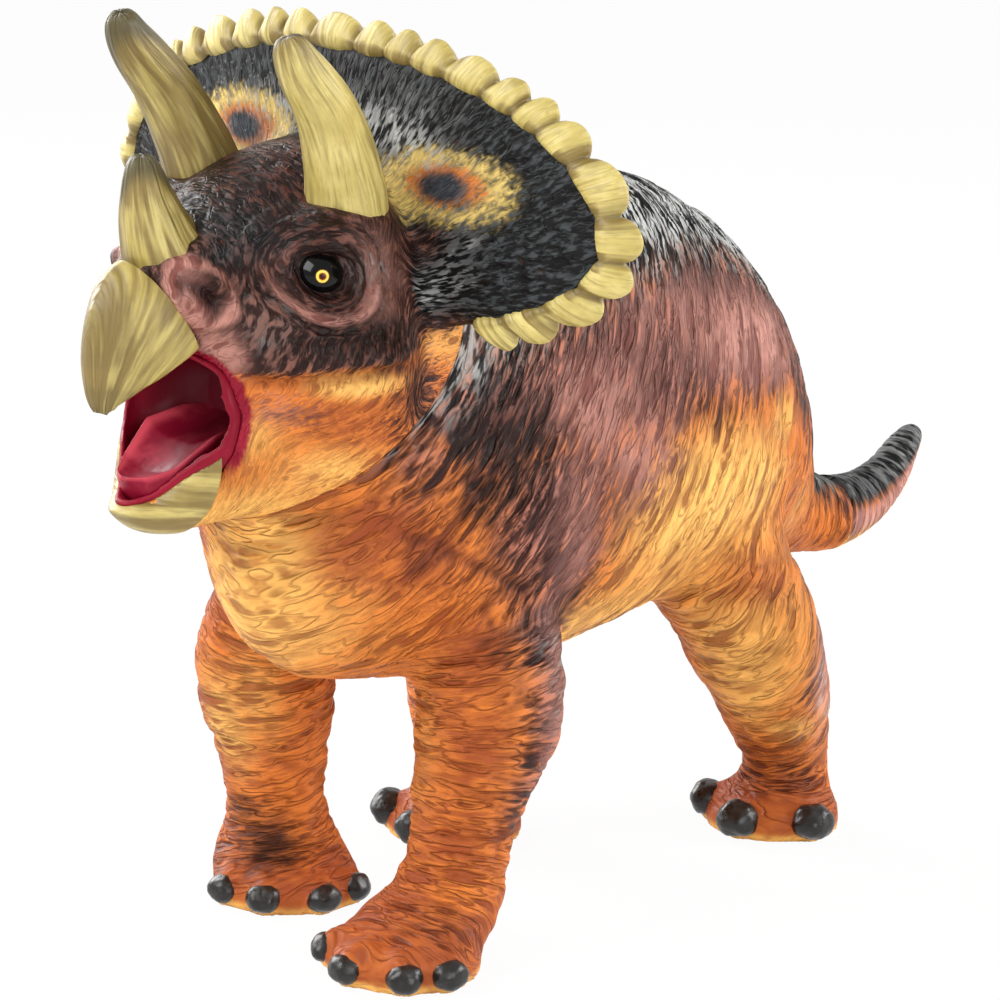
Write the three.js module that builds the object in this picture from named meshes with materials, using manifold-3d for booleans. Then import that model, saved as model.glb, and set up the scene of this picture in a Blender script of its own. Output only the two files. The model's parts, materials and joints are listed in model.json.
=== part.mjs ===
// Toy dinosaur figure: a horned, frilled plant eater in moulded vinyl, caught in mid stride.
// Millimetres, +Z up. The figure looks along -Y, and its own left side is +X.
// Three hollow castings make the figure: the body with its four legs, the head and the tail.
// The head and the tail have plugs that snap into round holes in the body, so both can be turned.
// Horns, beak, mouth, eyes, claws and the scalloped frill edging are fitted into the castings.

import * as THREE from 'three';
import { mergeVertices } from 'three/addons/utils/BufferGeometryUtils.js';
import Module from 'manifold-3d';

const wasm = await Module();
wasm.setup();

// Driving dimensions

// Vinyl skin and the clearances that every fit takes its size from
const skinWall = 2.6;
const seatGap = 0.3;
const swivelGap = 0.3;
const overrun = 40;

// Torso, measured back from the middle of the neck seam and up from the floor
const torsoLength = 182;
const torsoHalfWidth = 46;
const backHeight = 156;
const bellyHeight = 52;

// Neck seam: a round joint that looks forwards and up
const neckHeight = 119;
const neckSide = 1.7;
const neckRadius = 34;
const neckTilt = 45;
const neckCollar = 2.5;
const neckStemRadius = 22;
const neckBoreRadius = 17;
const neckLip = 3;
const neckLipThickness = 3;
const neckRoot = 5.5;

// Tail seam: a smaller round joint that looks straight back
const tailHeight = 62.5;
const tailSide = 5;
const tailRadius = 9.2;
const tailCollar = 2;
const tailStemRadius = 5;
const tailLip = 1.6;
const tailLipThickness = 2;
const tailLength = 36.8;
const tailCurl = 16;
const tailTipRadius = 2.6;
const tailSway = 2;

// Legs: their height inside the torso, and the radii of the thigh and of the sole
const legHeight = 84;
const foreLegRadius = 16.2;
const hindLegRadius = 18.6;
const foreFootRadius = 16;
const hindFootRadius = 15.4;

// Toes and claws, of which those of the fore feet are smaller
const toeHalfWidth = 4.8;
const toeHalfLength = 7.5;
const toeHalfHeight = 5.4;
const toeHeight = 3.6;
const toeInsetShare = 0.62;
const clawHalfWidth = 4.6;
const clawHalfLength = 4.2;
const clawHalfHeight = 4.1;
const clawFloorGap = 0.5;
const foreClawShare = 0.76;

// Head, measured from the middle of the neck seam in the head's own turned frame
const headTurn = -8.3;
const headLength = 44;
const headHalfWidth = 35;
const headRise = 52;
const headDrop = 24;
const headHollow = 30;
const headHollowRadius = 25;
const headHollowShoulder = 8.5;
const jawLength = 50;
const jawHalfWidth = 26;
const jawDrop = 26.5;

// Frill: a wide shield standing across the back of the skull
const frillHalfWidth = 72.8;
const frillRise = 33.6;
const frillDrop = 23;
const frillHeight = 35;
const frillPlace = 3.5;
const frillSweep = 6;
const frillRimThickness = 4.6;
const frillRootThickness = 9;

// Scalloped edging that grips the rim of the frill
const edgingGrip = 1.9;
const edgingDepth = 1.6;
const edgingLip = 1.2;
const edgingWave = 0.8;
const scallopCount = 27;
const scallopReach = 4.4;
const scallopPlump = 0.5;

// Brow horns and nose horn
const browHornSide = 22.5;
const browHornPlace = 13;
const browHornHeight = 41;
const browHornLength = 32;
const browHornLean = 19;
const browHornSplay = 3;
const browHornRadius = 8.7;
const browHornTipRadius = 2.8;
const noseHornPlace = 42;
const noseHornHeight = 31;
const noseHornLength = 17.5;
const noseHornLean = 4.4;
const noseHornRadius = 9.3;
const noseHornTipRadius = 2.3;
const hornRoot = 7;

// Beak, mouth and tongue
const beakReach = 59.2;
const beakTop = 30;
const beakHalfWidth = 13;
const mouthHalfWidth = 16.8;
const mouthRoof = 10.5;
const mouthFloor = 23.5;
const liningWall = 1.3;
const liningLip = 0.3;
const lowerBeakProud = 0.4;
const tongueBack = 22;
const tongueLength = 28.5;
const tongueHalfWidth = 12;
const tongueThickness = 6;
const tongueCup = 4.2;

// Eyes, eyelids, nostrils, cheek spikes, brows and the corners of the lips
const eyeSide = 25.2;
const eyePlace = 22.6;
const eyeHeight = 26.8;
const eyeRadius = 4.8;
const eyeTurn = 25;
const eyelidThickness = 1.5;
const eyelidOutShare = 0.3;
const eyelidAheadShare = 0.15;
const nostrilSide = 13;
const nostrilPlace = 41;
const nostrilHeight = 22.4;
const nostrilHalfHeight = 3.6;
const nostrilHalfWidth = 2.4;
const nostrilRim = 1.1;
const nostrilTurn = 35;
const nostrilLengthShare = 1.4;
const cheekSide = 30;
const cheekPlace = 11;
const cheekHeight = 10;
const cheekRadius = 6.5;
const cheekTurn = 20;
const cheekLengthShare = 1.3;
const cheekHeightShare = 0.6;
const browHalfWidth = 9;
const browHalfLength = 13;
const browHalfHeight = 8;
const browDrop = 8;
const lipSide = 14.2;
const lipPlace = 31.6;
const lipHeight = 2.6;
const lipHalfWidth = 4.4;
const lipHalfLength = 5.6;
const lipHalfHeight = 8.6;

// Numbers of faces round and along the curved skins
const torsoSides = 20;
const torsoRings = 16;
const hollowSides = 10;
const hollowRings = 7;
const legSides = 10;
const legRings = 9;
const headSides = 20;
const headRings = 12;
const mouthSides = 14;
const mouthRings = 9;
const frillSides = 32;
const scallopSteps = 4;
const hornSides = 12;
const hornRings = 7;
const eggSides = 8;
const eggRows = 4;
const lidSides = 6;
const lidSteps = 12;
const tailSteps = 8;
const roundSides = 24;

const origin = new THREE.Vector3();
const forward = new THREE.Vector3(0, -1, 0);
const sideways = new THREE.Vector3(1, 0, 0);
const upwards = new THREE.Vector3(0, 0, 1);
const radians = THREE.MathUtils.degToRad;

// Geometry helpers

// Turns a closed surface so that its faces look outwards
function facingOut(geometry) {
  const position = geometry.getAttribute('position');
  const index = geometry.getIndex();
  const [a, b, c] = [new THREE.Vector3(), new THREE.Vector3(), new THREE.Vector3()];
  let volume = 0;
  for (let corner = 0; corner < index.count; corner += 3) {
    a.fromBufferAttribute(position, index.getX(corner));
    b.fromBufferAttribute(position, index.getX(corner + 1));
    c.fromBufferAttribute(position, index.getX(corner + 2));
    volume += a.dot(b.cross(c));
  }
  if (volume < 0) {
    index.array.reverse();
  }
  return geometry;
}

// Keeps only the places of a surface's corners, and joins the corners that share a place
function bare(geometry) {
  const copy = geometry.clone();
  for (const name of ['normal', 'uv']) {
    if (copy.hasAttribute(name)) {
      copy.deleteAttribute(name);
    }
  }
  return facingOut(mergeVertices(copy));
}

// Joins a row of rings of points into one closed skin. A fan of faces closes each end, or faces laid
// over the section where its flat outline is given, because a hollowed outline can't take a fan.
function skin(rings, section) {
  const sides = rings[0].length;
  const points = rings.flat();
  const index = [];
  for (let ring = 0; ring < rings.length - 1; ring += 1) {
    for (let side = 0; side < sides; side += 1) {
      const here = ring * sides + side;
      const beside = ring * sides + (side + 1) % sides;
      index.push(here, beside, beside + sides, here, beside + sides, here + sides);
    }
  }
  if (section) {
    const ends = (rings.length - 1) * sides;
    for (const corners of THREE.ShapeUtils.triangulateShape(section, [])) {
      index.push(...corners.toReversed(), ...corners.map((corner) => corner + ends));
    }
  }
  for (const [ring, turn] of section ? [] : [[0, 1], [rings.length - 1, 0]]) {
    const middle = new THREE.Vector3();
    rings[ring].forEach((point) => middle.addScaledVector(point, 1 / sides));
    const hub = points.push(middle) - 1;
    for (let side = 0; side < sides; side += 1) {
      const here = ring * sides + (side + turn) % sides;
      const beside = ring * sides + (side + 1 - turn) % sides;
      index.push(hub, here, beside);
    }
  }
  const geometry = new THREE.BufferGeometry().setFromPoints(points);
  geometry.setIndex(index);
  return facingOut(geometry);
}

// Moves a closed surface out by one distance along its own normals, or in where it is negative
function grown(geometry, distance) {
  const result = bare(geometry);
  const position = result.getAttribute('position');
  const index = result.getIndex();
  const faces = Array.from({ length: position.count }, () => []);
  const triangle = new THREE.Triangle();
  for (let corner = 0; corner < index.count; corner += 3) {
    const corners = [index.getX(corner), index.getX(corner + 1), index.getX(corner + 2)];
    triangle.setFromAttributeAndIndices(position, ...corners);
    if (triangle.getArea() > 0) {
      const normal = triangle.getNormal(new THREE.Vector3());
      corners.forEach((vertex) => faces[vertex].push(normal));
    }
  }
  const steepestShare = 0.55;
  faces.forEach((normals, vertex) => {
    const out = new THREE.Vector3();
    normals.forEach((normal) => out.add(normal));
    out.normalize();
    const slant = Math.max(steepestShare, Math.min(...normals.map((normal) => normal.dot(out))));
    const point = new THREE.Vector3().fromBufferAttribute(position, vertex);
    point.addScaledVector(out, distance / slant);
    position.setXYZ(vertex, point.x, point.y, point.z);
  });
  return result;
}

function solid(geometry) {
  const surface = bare(geometry);
  return new wasm.Manifold(new wasm.Mesh({
    numProp: 3,
    vertProperties: Float32Array.from(surface.getAttribute('position').array),
    triVerts: Uint32Array.from(surface.getIndex().array),
  }));
}

function surfaceOf(body) {
  const mesh = body.getMesh();
  const geometry = new THREE.BufferGeometry();
  geometry.setAttribute('position', new THREE.BufferAttribute(Float32Array.from(mesh.vertProperties), 3));
  geometry.setIndex(new THREE.BufferAttribute(Uint32Array.from(mesh.triVerts), 1));
  geometry.computeVertexNormals();
  return geometry;
}

// A rib is a cross-section: a middle, the directions to its side and its top, how far it reaches
// sideways, up and down, and how full it is above and below, where 1 is an ellipse
function rib({ middle, side = sideways, top, halfWidth, rise, drop, fullShares = [1, 1] }) {
  return [...middle, ...side, ...top, halfWidth, rise, drop, ...fullShares];
}

// A rib drawn between a point on the keel and a point on the crest of the middle plane
function keeledRib(keel, crest, halfWidth, widestShare, fullShares) {
  const low = new THREE.Vector3(0, ...keel);
  const high = new THREE.Vector3(0, ...crest);
  const middle = low.clone().lerp(high, widestShare);
  return rib({
    middle,
    top: high.clone().sub(low).normalize(),
    halfWidth,
    rise: middle.distanceTo(high),
    drop: middle.distanceTo(low),
    fullShares,
  });
}

function roundRib(middle, side, top, radius) {
  return rib({ middle, side, top, halfWidth: radius, rise: radius, drop: radius });
}

function ribPoints(values, sides) {
  const middle = new THREE.Vector3(...values.slice(0, 3));
  const side = new THREE.Vector3(...values.slice(3, 6)).normalize();
  const top = new THREE.Vector3(...values.slice(6, 9)).normalize();
  const [halfWidth, rise, drop, fullAbove, fullBelow] = values.slice(9);
  return Array.from({ length: sides }, (_, step) => {
    const angle = 2 * Math.PI * step / sides;
    const across = Math.cos(angle);
    const up = Math.sin(angle);
    const full = up > 0 ? fullAbove : fullBelow;
    const reach = up > 0 ? rise : drop;
    const width = halfWidth * Math.sign(across) * Math.abs(across) ** (1 / full);
    const height = reach * Math.sign(up) * Math.abs(up) ** (1 / Math.max(full, 1));
    return middle.clone().addScaledVector(side, width).addScaledVector(top, height);
  });
}

// Carries a smooth skin through a row of ribs
function loft(ribs, ringCount, sides) {
  const places = ribs.map((_, step) => step);
  const size = ribs[0].length;
  const curve = new THREE.CubicInterpolant(places, ribs.flat(), size);
  const rings = Array.from({ length: ringCount }, (_, ring) => {
    const place = (ribs.length - 1) * ring / (ringCount - 1);
    return ribPoints(Array.from(curve.evaluate(place)), sides);
  });
  return skin(rings);
}

// A round body along a curve, with a radius that changes along it
function roundAlong(curve, steps, sides, radiusAt) {
  const frames = curve.computeFrenetFrames(steps, false);
  const rings = Array.from({ length: steps + 1 }, (_, step) => {
    const middle = curve.getPointAt(step / steps);
    const values = roundRib(middle, frames.normals[step], frames.binormals[step], radiusAt(step / steps));
    return ribPoints(values, sides);
  });
  return skin(rings);
}

// An egg of three half sizes, turned about the vertical and set in its place
function egg(halfSizes, place, turn = 0, sides = eggSides, rows = eggRows) {
  const geometry = new THREE.SphereGeometry(1, sides, rows);
  geometry.rotateX(Math.PI / 2);
  geometry.scale(...halfSizes);
  geometry.rotateZ(turn);
  geometry.translate(...place);
  return geometry;
}

// A turned part about a joint's axis, from a closed profile of radius and distance along it
function turned(profile, centre, axis, sides = roundSides) {
  const geometry = new THREE.LatheGeometry(profile.map((point) => new THREE.Vector2(...point)), sides);
  geometry.applyQuaternion(new THREE.Quaternion().setFromUnitVectors(new THREE.Vector3(0, 1, 0), axis));
  geometry.translate(...centre);
  return geometry;
}

function piece(name, body, colour, roughness) {
  const material = new THREE.MeshStandardMaterial({ color: colour, roughness, metalness: 0 });
  const mesh = new THREE.Mesh(surfaceOf(body), material);
  mesh.name = name;
  return mesh;
}

// Colours and roughness of the finishes
const bodyColour = 0xc07a45;
const headColour = 0x7c5048;
const tailColour = 0x6b5350;
const hornColour = 0xc9be78;
const mouthColour = 0x7b1a2b;
const tongueColour = 0x93293a;
const eyeColour = 0x0e0c0b;
const clawColour = 0x1c1817;
const vinylRoughness = 0.55;
const hornRoughness = 0.45;
const glossRoughness = 0.2;

const figure = new THREE.Group();
const bodyGroup = new THREE.Group();
const headGroup = new THREE.Group();
const tailGroup = new THREE.Group();
figure.add(bodyGroup, headGroup, tailGroup);

// Joint places. The neck joint is turned with the head, and the tail joint looks straight back.
const neckCentre = new THREE.Vector3(-neckSide, 0, neckHeight);
const neckAxis = new THREE.Vector3(0, -Math.cos(radians(neckTilt)), Math.sin(radians(neckTilt)));
const neckTop = new THREE.Vector3(0, Math.sin(radians(neckTilt)), Math.cos(radians(neckTilt)));
const bodyNeckAxis = neckAxis.clone().applyAxisAngle(upwards, radians(headTurn));
const bodyNeckTop = neckTop.clone().applyAxisAngle(upwards, radians(headTurn));
const bodyNeckSide = sideways.clone().applyAxisAngle(upwards, radians(headTurn));
const tailCentre = new THREE.Vector3(tailSide, torsoLength, tailHeight);
const tailAxis = new THREE.Vector3(0, 1, 0);

// Torso ribs as shares: keel along and up, crest along and up, half width, fullness of the keel
// Along is a share of the torso's length, up a share of the way from belly to back
const torsoRibShares = [
  [-0.132, 0.327, 0.198, 0.894, 0.74, 0.75],
  [-0.115, 0.173, 0.275, 0.942, 0.77, 0.75],
  [-0.044, 0.058, 0.352, 0.98, 0.86, 0.88],
  [0.082, 0.019, 0.429, 1, 0.95, 1],
  [0.286, 0.005, 0.516, 0.98, 1, 1.05],
  [0.478, 0.038, 0.604, 0.909, 0.95, 1.05],
  [0.626, 0.048, 0.692, 0.798, 0.82, 1.05],
  [0.747, 0.048, 0.78, 0.644, 0.61, 1],
  [0.846, 0.034, 0.868, 0.442, 0.4, 1],
  [0.918, 0.014, 0.929, 0.269, 0.265, 1],
];
const torsoWidestShare = 0.45;
const torsoCrestFullShare = 1.06;

function torsoPoint(alongShare, upShare) {
  return [torsoLength * alongShare, bellyHeight + (backHeight - bellyHeight) * upShare];
}

// The torso's skin starts and ends in a short round collar at each joint
function torsoRibs() {
  const neckRibs = [0, neckCollar].map((depth) => roundRib(
    neckCentre.clone().addScaledVector(bodyNeckAxis, -depth), bodyNeckSide, bodyNeckTop, neckRadius));
  const tailRibs = [tailCollar, 0].map((depth) => roundRib(
    tailCentre.clone().addScaledVector(tailAxis, -depth), sideways, upwards, tailRadius));
  const middleRibs = torsoRibShares.map((shares) => keeledRib(
    torsoPoint(...shares.slice(0, 2)), torsoPoint(...shares.slice(2, 4)),
    torsoHalfWidth * shares[4], torsoWidestShare, [torsoCrestFullShare, shares[5]]));
  return [...neckRibs, ...middleRibs, ...tailRibs];
}

// Legs as shares: how far out, along and up each ring's middle lies, and its radius
// Out is a share of the torso's half width, along of its length, up of the leg's height
const foreRadiusShares = [0.72, 0.97, 0.97, 0.92, 0.78, 0.68, 0.76, 0.88];
const hindRadiusShares = [0.85, 0.99, 0.94, 0.87, 0.755, 0.65, 0.54, 0.62];
const legUpShares = [1.1, 0.73, 0.61, 0.5, 0.385, 0.268, 0.169, 0.117];
const footUpShares = [0.052, 0];
const legPaths = {
  front_left: {
    fore: true,
    outShares: [0.36, 0.57, 0.61, 0.61, 0.6, 0.59, 0.58, 0.575, 0.58, 0.59],
    alongShares: [0.165, 0.13, 0.12, 0.11, 0.092, 0.077, 0.063, 0.036, -0.01, -0.016],
    clawBearings: [-57, -8, 40, 74],
  },
  front_right: {
    fore: true,
    outShares: [-0.36, -0.57, -0.61, -0.61, -0.6, -0.59, -0.575, -0.55, -0.49, -0.48],
    alongShares: [0.11, 0.088, 0.084, 0.088, 0.094, 0.1, 0.102, 0.1, 0.093, 0.092],
    clawBearings: [-17, 23, 70, 108],
  },
  hind_left: {
    fore: false,
    outShares: [0.38, 0.56, 0.61, 0.61, 0.61, 0.6, 0.6, 0.6, 0.59, 0.59],
    alongShares: [0.555, 0.605, 0.635, 0.665, 0.695, 0.725, 0.745, 0.738, 0.725, 0.725],
    clawBearings: [-66, 2, 70],
  },
  hind_right: {
    fore: false,
    outShares: [-0.38, -0.56, -0.61, -0.6, -0.58, -0.55, -0.52, -0.51, -0.5, -0.5],
    alongShares: [0.5, 0.485, 0.475, 0.463, 0.455, 0.45, 0.446, 0.435, 0.418, 0.418],
    clawBearings: [-60, 5, 70],
  },
};

function legRadii(leg) {
  const shares = leg.fore ? foreRadiusShares : hindRadiusShares;
  const thigh = leg.fore ? foreLegRadius : hindLegRadius;
  const foot = leg.fore ? foreFootRadius : hindFootRadius;
  return [...shares.map((share) => thigh * share), ...footUpShares.map(() => foot)];
}

function legMiddle(leg, step) {
  const upShares = [...legUpShares, ...footUpShares];
  return new THREE.Vector3(
    torsoHalfWidth * leg.outShares[step], torsoLength * leg.alongShares[step], legHeight * upShares[step]);
}

function legSkin(leg, ringCount, sides) {
  const backwards = forward.clone().negate();
  const ribs = legRadii(leg).map((radius, step) => roundRib(
    legMiddle(leg, step), sideways, backwards, radius));
  return loft(ribs, ringCount, sides);
}

// Where a foot's claw or toe points: a bearing from straight ahead towards the figure's left
function footPoint(leg, bearing, reach, height) {
  const middle = legMiddle(leg, leg.outShares.length - 1);
  const out = forward.clone().applyAxisAngle(upwards, radians(bearing));
  return middle.addScaledVector(out, reach).setZ(height);
}

function footRadius(leg) {
  return leg.fore ? foreFootRadius : hindFootRadius;
}

function toe(leg, bearing) {
  const place = footPoint(leg, bearing, footRadius(leg) - toeHalfLength * toeInsetShare, toeHeight);
  return egg([toeHalfWidth, toeHalfLength, toeHalfHeight], place, radians(bearing));
}

function claw(leg, bearing) {
  const sizeShare = leg.fore ? foreClawShare : 1;
  const place = footPoint(leg, bearing, footRadius(leg), clawFloorGap + clawHalfHeight * sizeShare);
  const halfSizes = [clawHalfWidth, clawHalfLength, clawHalfHeight].map((half) => half * sizeShare);
  return egg(halfSizes, place, radians(bearing));
}

// Everything above one level, as a block to trim with
function above(level) {
  const block = new THREE.BoxGeometry(2 * torsoLength + overrun, 4 * torsoLength, 2 * backHeight);
  block.translate(0, torsoLength / 2, backHeight + level);
  return solid(block);
}

// Everything ahead of a joint's seam, less its gap, as a block to trim a turning casting with
function aheadOf(centre, axis) {
  const reach = torsoLength;
  return solid(turned([[0, swivelGap], [reach, swivelGap], [reach, reach], [0, reach]], centre, axis));
}

// Room in the body behind the wall of a joint, for the lip of the plug
function lipRoom(stemRadius, lip, lipThickness, centre, axis) {
  const radius = stemRadius + lip + 2 * swivelGap;
  const end = -(skinWall + lipThickness + 3 * swivelGap);
  return solid(turned([[0, -skinWall], [radius, -skinWall], [radius, end], [0, end]], centre, axis));
}

// The hole in the body's wall that a plug turns in
function plugHole(stemRadius, centre, axis) {
  const radius = stemRadius + swivelGap;
  const depth = 2 * skinWall;
  return solid(turned([[0, depth], [radius, depth], [radius, -depth], [0, -depth]], centre, axis));
}

// A plug: a hollow or solid stem through the body's hole, and a lip behind the body's wall
function plugProfile(stemRadius, boreRadius, lip, lipThickness, root) {
  const behindWall = -(swivelGap + skinWall + swivelGap);
  const lipEnd = behindWall - lipThickness;
  return [
    [boreRadius, root],
    [stemRadius, root],
    [stemRadius, behindWall],
    [stemRadius + lip, behindWall],
    [stemRadius + lip, behindWall - lipThickness / 2],
    [stemRadius, lipEnd],
    [boreRadius, lipEnd],
    [boreRadius, root],
  ];
}

function bodyShell() {
  const legs = Object.values(legPaths);
  const torso = loft(torsoRibs(), torsoRings, torsoSides);
  let outside = solid(torso);
  let inside = solid(grown(loft(torsoRibs(), hollowRings, hollowSides), -skinWall));
  for (const leg of legs) {
    outside = outside.add(solid(legSkin(leg, legRings, legSides)));
    inside = inside.add(solid(grown(legSkin(leg, hollowRings, hollowSides), -skinWall)));
    for (const bearing of leg.clawBearings) {
      outside = outside.add(solid(toe(leg, bearing)));
    }
  }
  outside = outside.intersect(above(0));
  inside = inside.intersect(above(clawFloorGap + 2 * clawHalfHeight + skinWall));
  for (const leg of legs) {
    for (const bearing of leg.clawBearings) {
      outside = outside.subtract(solid(grown(claw(leg, bearing), seatGap)));
    }
  }
  inside = inside.add(lipRoom(neckStemRadius, neckLip, neckLipThickness, neckCentre, bodyNeckAxis));
  inside = inside.add(lipRoom(tailStemRadius, tailLip, tailLipThickness, tailCentre, tailAxis));
  return outside.subtract(inside)
    .subtract(plugHole(neckStemRadius, neckCentre, bodyNeckAxis))
    .subtract(plugHole(tailStemRadius, tailCentre, tailAxis));
}

bodyGroup.add(piece('body_shell', bodyShell(), bodyColour, vinylRoughness));
for (const [name, leg] of Object.entries(legPaths)) {
  leg.clawBearings.forEach((bearing, count) => {
    bodyGroup.add(piece(`claw_${name}_${count + 1}`, solid(claw(leg, bearing)), clawColour, glossRoughness));
  });
}

// Tail casting: a curled cone with a plug, in a frame at the tail seam
tailGroup.position.copy(tailCentre);

// The tail's path as shares of its sway, length and curl, from just behind the seam
const tailPathShares = [[0, 0.22, 0], [0.3, 0.45, 0.1], [0.6, 0.68, 0.35], [0.8, 0.87, 0.75], [1, 1, 1]];
const tailTaper = { power: 1.25, tipPower: 14, tipShare: 0.12 };

// Radius at a share of the way: it falls by a power of the share, and rounds off at the tip
function taperedRadius(radius, tipRadius, taper, share) {
  const width = THREE.MathUtils.lerp(radius, tipRadius, share ** taper.power);
  return width * Math.sqrt(Math.max(1 - share ** taper.tipPower, taper.tipShare));
}

function tailShell() {
  const path = tailPathShares.map(([sway, along, curl]) => [
    tailSway * sway, tailLength * along, tailCurl * curl]);
  const curve = new THREE.CatmullRomCurve3(
    [[0, swivelGap, 0], ...path].map((point) => new THREE.Vector3(...point)));
  const outside = roundAlong(curve, tailSteps, hornSides, (share) => taperedRadius(
    tailRadius, tailTipRadius, tailTaper, share));
  const plug = turned(
    plugProfile(tailStemRadius, 0, tailLip, tailLipThickness, tailStemRadius), origin, tailAxis);
  return solid(outside).intersect(aheadOf(origin, tailAxis)).add(solid(plug));
}

tailGroup.add(piece('tail_shell', tailShell(), tailColour, vinylRoughness));

// Head casting, in the head's own frame at the neck seam
headGroup.position.copy(neckCentre);
headGroup.rotation.z = radians(headTurn);

// Skull ribs as shares: keel forward and up, crest forward and up, half width
// Forward is a share of the head's length, up a share of the rise above or the drop below the neck
const skullRibShares = [
  [0.6, -0.85, -0.32, 0.8, 1.0],
  [0.68, -0.6, -0.05, 0.94, 0.96],
  [0.76, -0.24, 0.27, 0.925, 0.85],
  [0.82, 0.05, 0.55, 0.82, 0.73],
  [0.88, 0.15, 0.75, 0.71, 0.57],
  [0.94, 0.2, 0.93, 0.62, 0.43],
  [0.99, 0.24, 1.1, 0.53, 0.3],
];
const skullWidestShare = 0.42;
const skullFullShares = [1.05, 1.15];

function headPoint(forwardShare, upShare, length, rise, drop) {
  return [-length * forwardShare, upShare > 0 ? rise * upShare : drop * upShare];
}

function skull() {
  const collar = [swivelGap, neckCollar].map((depth) => roundRib(
    neckAxis.clone().multiplyScalar(depth), sideways, neckTop, neckRadius));
  const ribs = headRibs(skullRibShares, [headLength, headRise, headDrop],
    headHalfWidth, skullWidestShare, skullFullShares);
  return loft([...collar, ...ribs], headRings, headSides);
}

// Jaw ribs as shares: keel forward and down, crest forward and down, half width
const jawRibShares = [
  [0.3, -0.9, 0.2, 0.5, 0.95],
  [0.46, -0.95, 0.42, 0.3, 0.88],
  [0.6, -0.96, 0.6, 0.5, 0.79],
  [0.7, -0.975, 0.71, 0.4, 0.7],
  [0.76, -0.985, 0.785, -0.34, 0.6],
  [0.85, -1, 0.92, -0.62, 0.37],
  [0.94, -0.96, 1.005, -0.74, 0.2],
  [1.005, -0.87, 1.04, -0.79, 0.08],
];
const jawWidestShare = 0.6;
const jawFullShares = [1.15, 1.1];

// The lower beak is the jaw's front ribs behind a first rib that slants forwards to the chin
const lowerBeakRibShares = [[0.82, -0.985, 0.745, -0.12, 0.61], ...jawRibShares.slice(5)];

function headRibs(table, [length, rise, drop], halfWidth, widestShare, fullShares, margin = 0) {
  return table.map(([keelAlong, keelUp, crestAlong, crestUp, widthShare]) => keeledRib(
    headPoint(keelAlong, keelUp, length, rise, drop), headPoint(crestAlong, crestUp, length, rise, drop),
    halfWidth * widthShare + margin, widestShare, fullShares));
}

function jaw(ribShares, margin = 0) {
  const ribs = headRibs(ribShares, [jawLength, mouthRoof, jawDrop],
    jawHalfWidth, jawWidestShare, jawFullShares, margin);
  return loft(ribs, mouthRings, mouthSides + 2);
}

// Mouth bag as shares: keel forward and down, crest forward and up, half width
const mouthRibShares = [
  [0.44, -0.3, 0.44, 0.4, 0.45],
  [0.5, -0.48, 0.5, 0.7, 0.74],
  [0.62, -0.68, 0.62, 0.9, 0.94],
  [0.74, -0.84, 0.74, 1, 1],
  [0.86, -0.92, 0.88, 1.08, 0.68],
  [0.96, -0.9, 0.99, 0.5, 0.42],
  [1.08, -0.8, 1.12, -0.45, 0.26],
];
const mouthWidestShare = 0.5;
const mouthFullShares = [1.5, 1.1];

function mouthBag() {
  const ribs = headRibs(mouthRibShares, [jawLength, mouthRoof, mouthFloor],
    mouthHalfWidth, mouthWidestShare, mouthFullShares);
  return loft(ribs, mouthRings, mouthSides);
}

// Upper beak ribs as shares of its reach, top and half width
const beakRibShares = [
  [0.685, 0.35, 0.853, 0.95, 0.96],
  [0.735, 0.28, 0.89, 0.91, 0.93],
  [0.79, 0.2, 0.935, 0.82, 0.81],
  [0.845, 0.13, 0.975, 0.65, 0.66],
  [0.89, 0.06, 1, 0.41, 0.48],
  [0.925, 0, 0.992, 0.14, 0.3],
  [0.935, -0.04, 0.965, -0.02, 0.13],
];
const beakWidestShare = 0.16;
const beakFullShares = [0.78, 1.4];

function upperBeak() {
  const ribs = headRibs(beakRibShares, [beakReach, beakTop, beakTop],
    beakHalfWidth, beakWidestShare, beakFullShares);
  return loft(ribs, mouthRings, mouthSides);
}

// Frill: the surface between its faces is swept back towards the sides
function frillMiddle(across, up) {
  const sweep = frillSweep * (across / frillHalfWidth) ** 2;
  return new THREE.Vector3(across, frillPlace + sweep, frillHeight + up);
}

function frillPoint(angle, share, offset = 0) {
  const up = Math.sin(angle) > 0 ? frillRise : frillDrop;
  return frillMiddle(
    (frillHalfWidth * share + offset) * Math.cos(angle), (up * share + offset) * Math.sin(angle));
}

function frillCore() {
  const faceShares = [0.35, 0.7, 0.94];
  const shares = [...faceShares, 1, ...faceShares.toReversed()];
  const rings = shares.map((share, step) => {
    const face = step < faceShares.length ? -1 : 1;
    const slope = (share - faceShares[0]) / (faceShares.at(-1) - faceShares[0]);
    const half = share === 1 ? 0 : THREE.MathUtils.lerp(frillRootThickness, frillRimThickness, slope) / 2;
    return Array.from({ length: frillSides }, (_, side) => {
      const point = frillPoint(2 * Math.PI * side / frillSides, share);
      return point.add(new THREE.Vector3(0, face * half, 0));
    });
  });
  return skin(rings);
}

// The edging runs from the lower left corner of the frill, over its top, to the lower right corner
const edgingStart = radians(-55);
const edgingEnd = Math.PI - edgingStart;

// Angles round the rim at equal distances along it, so that all scallops are equally long
function edgingAngles(steps) {
  const rim = new THREE.CatmullRomCurve3(Array.from({ length: steps + 1 }, (_, step) => frillPoint(
    THREE.MathUtils.lerp(edgingStart, edgingEnd, step / steps), 1)));
  return Array.from({ length: steps + 1 }, (_, step) => THREE.MathUtils.lerp(
    edgingStart, edgingEnd, rim.getUtoTmapping(step / steps)));
}

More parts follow.
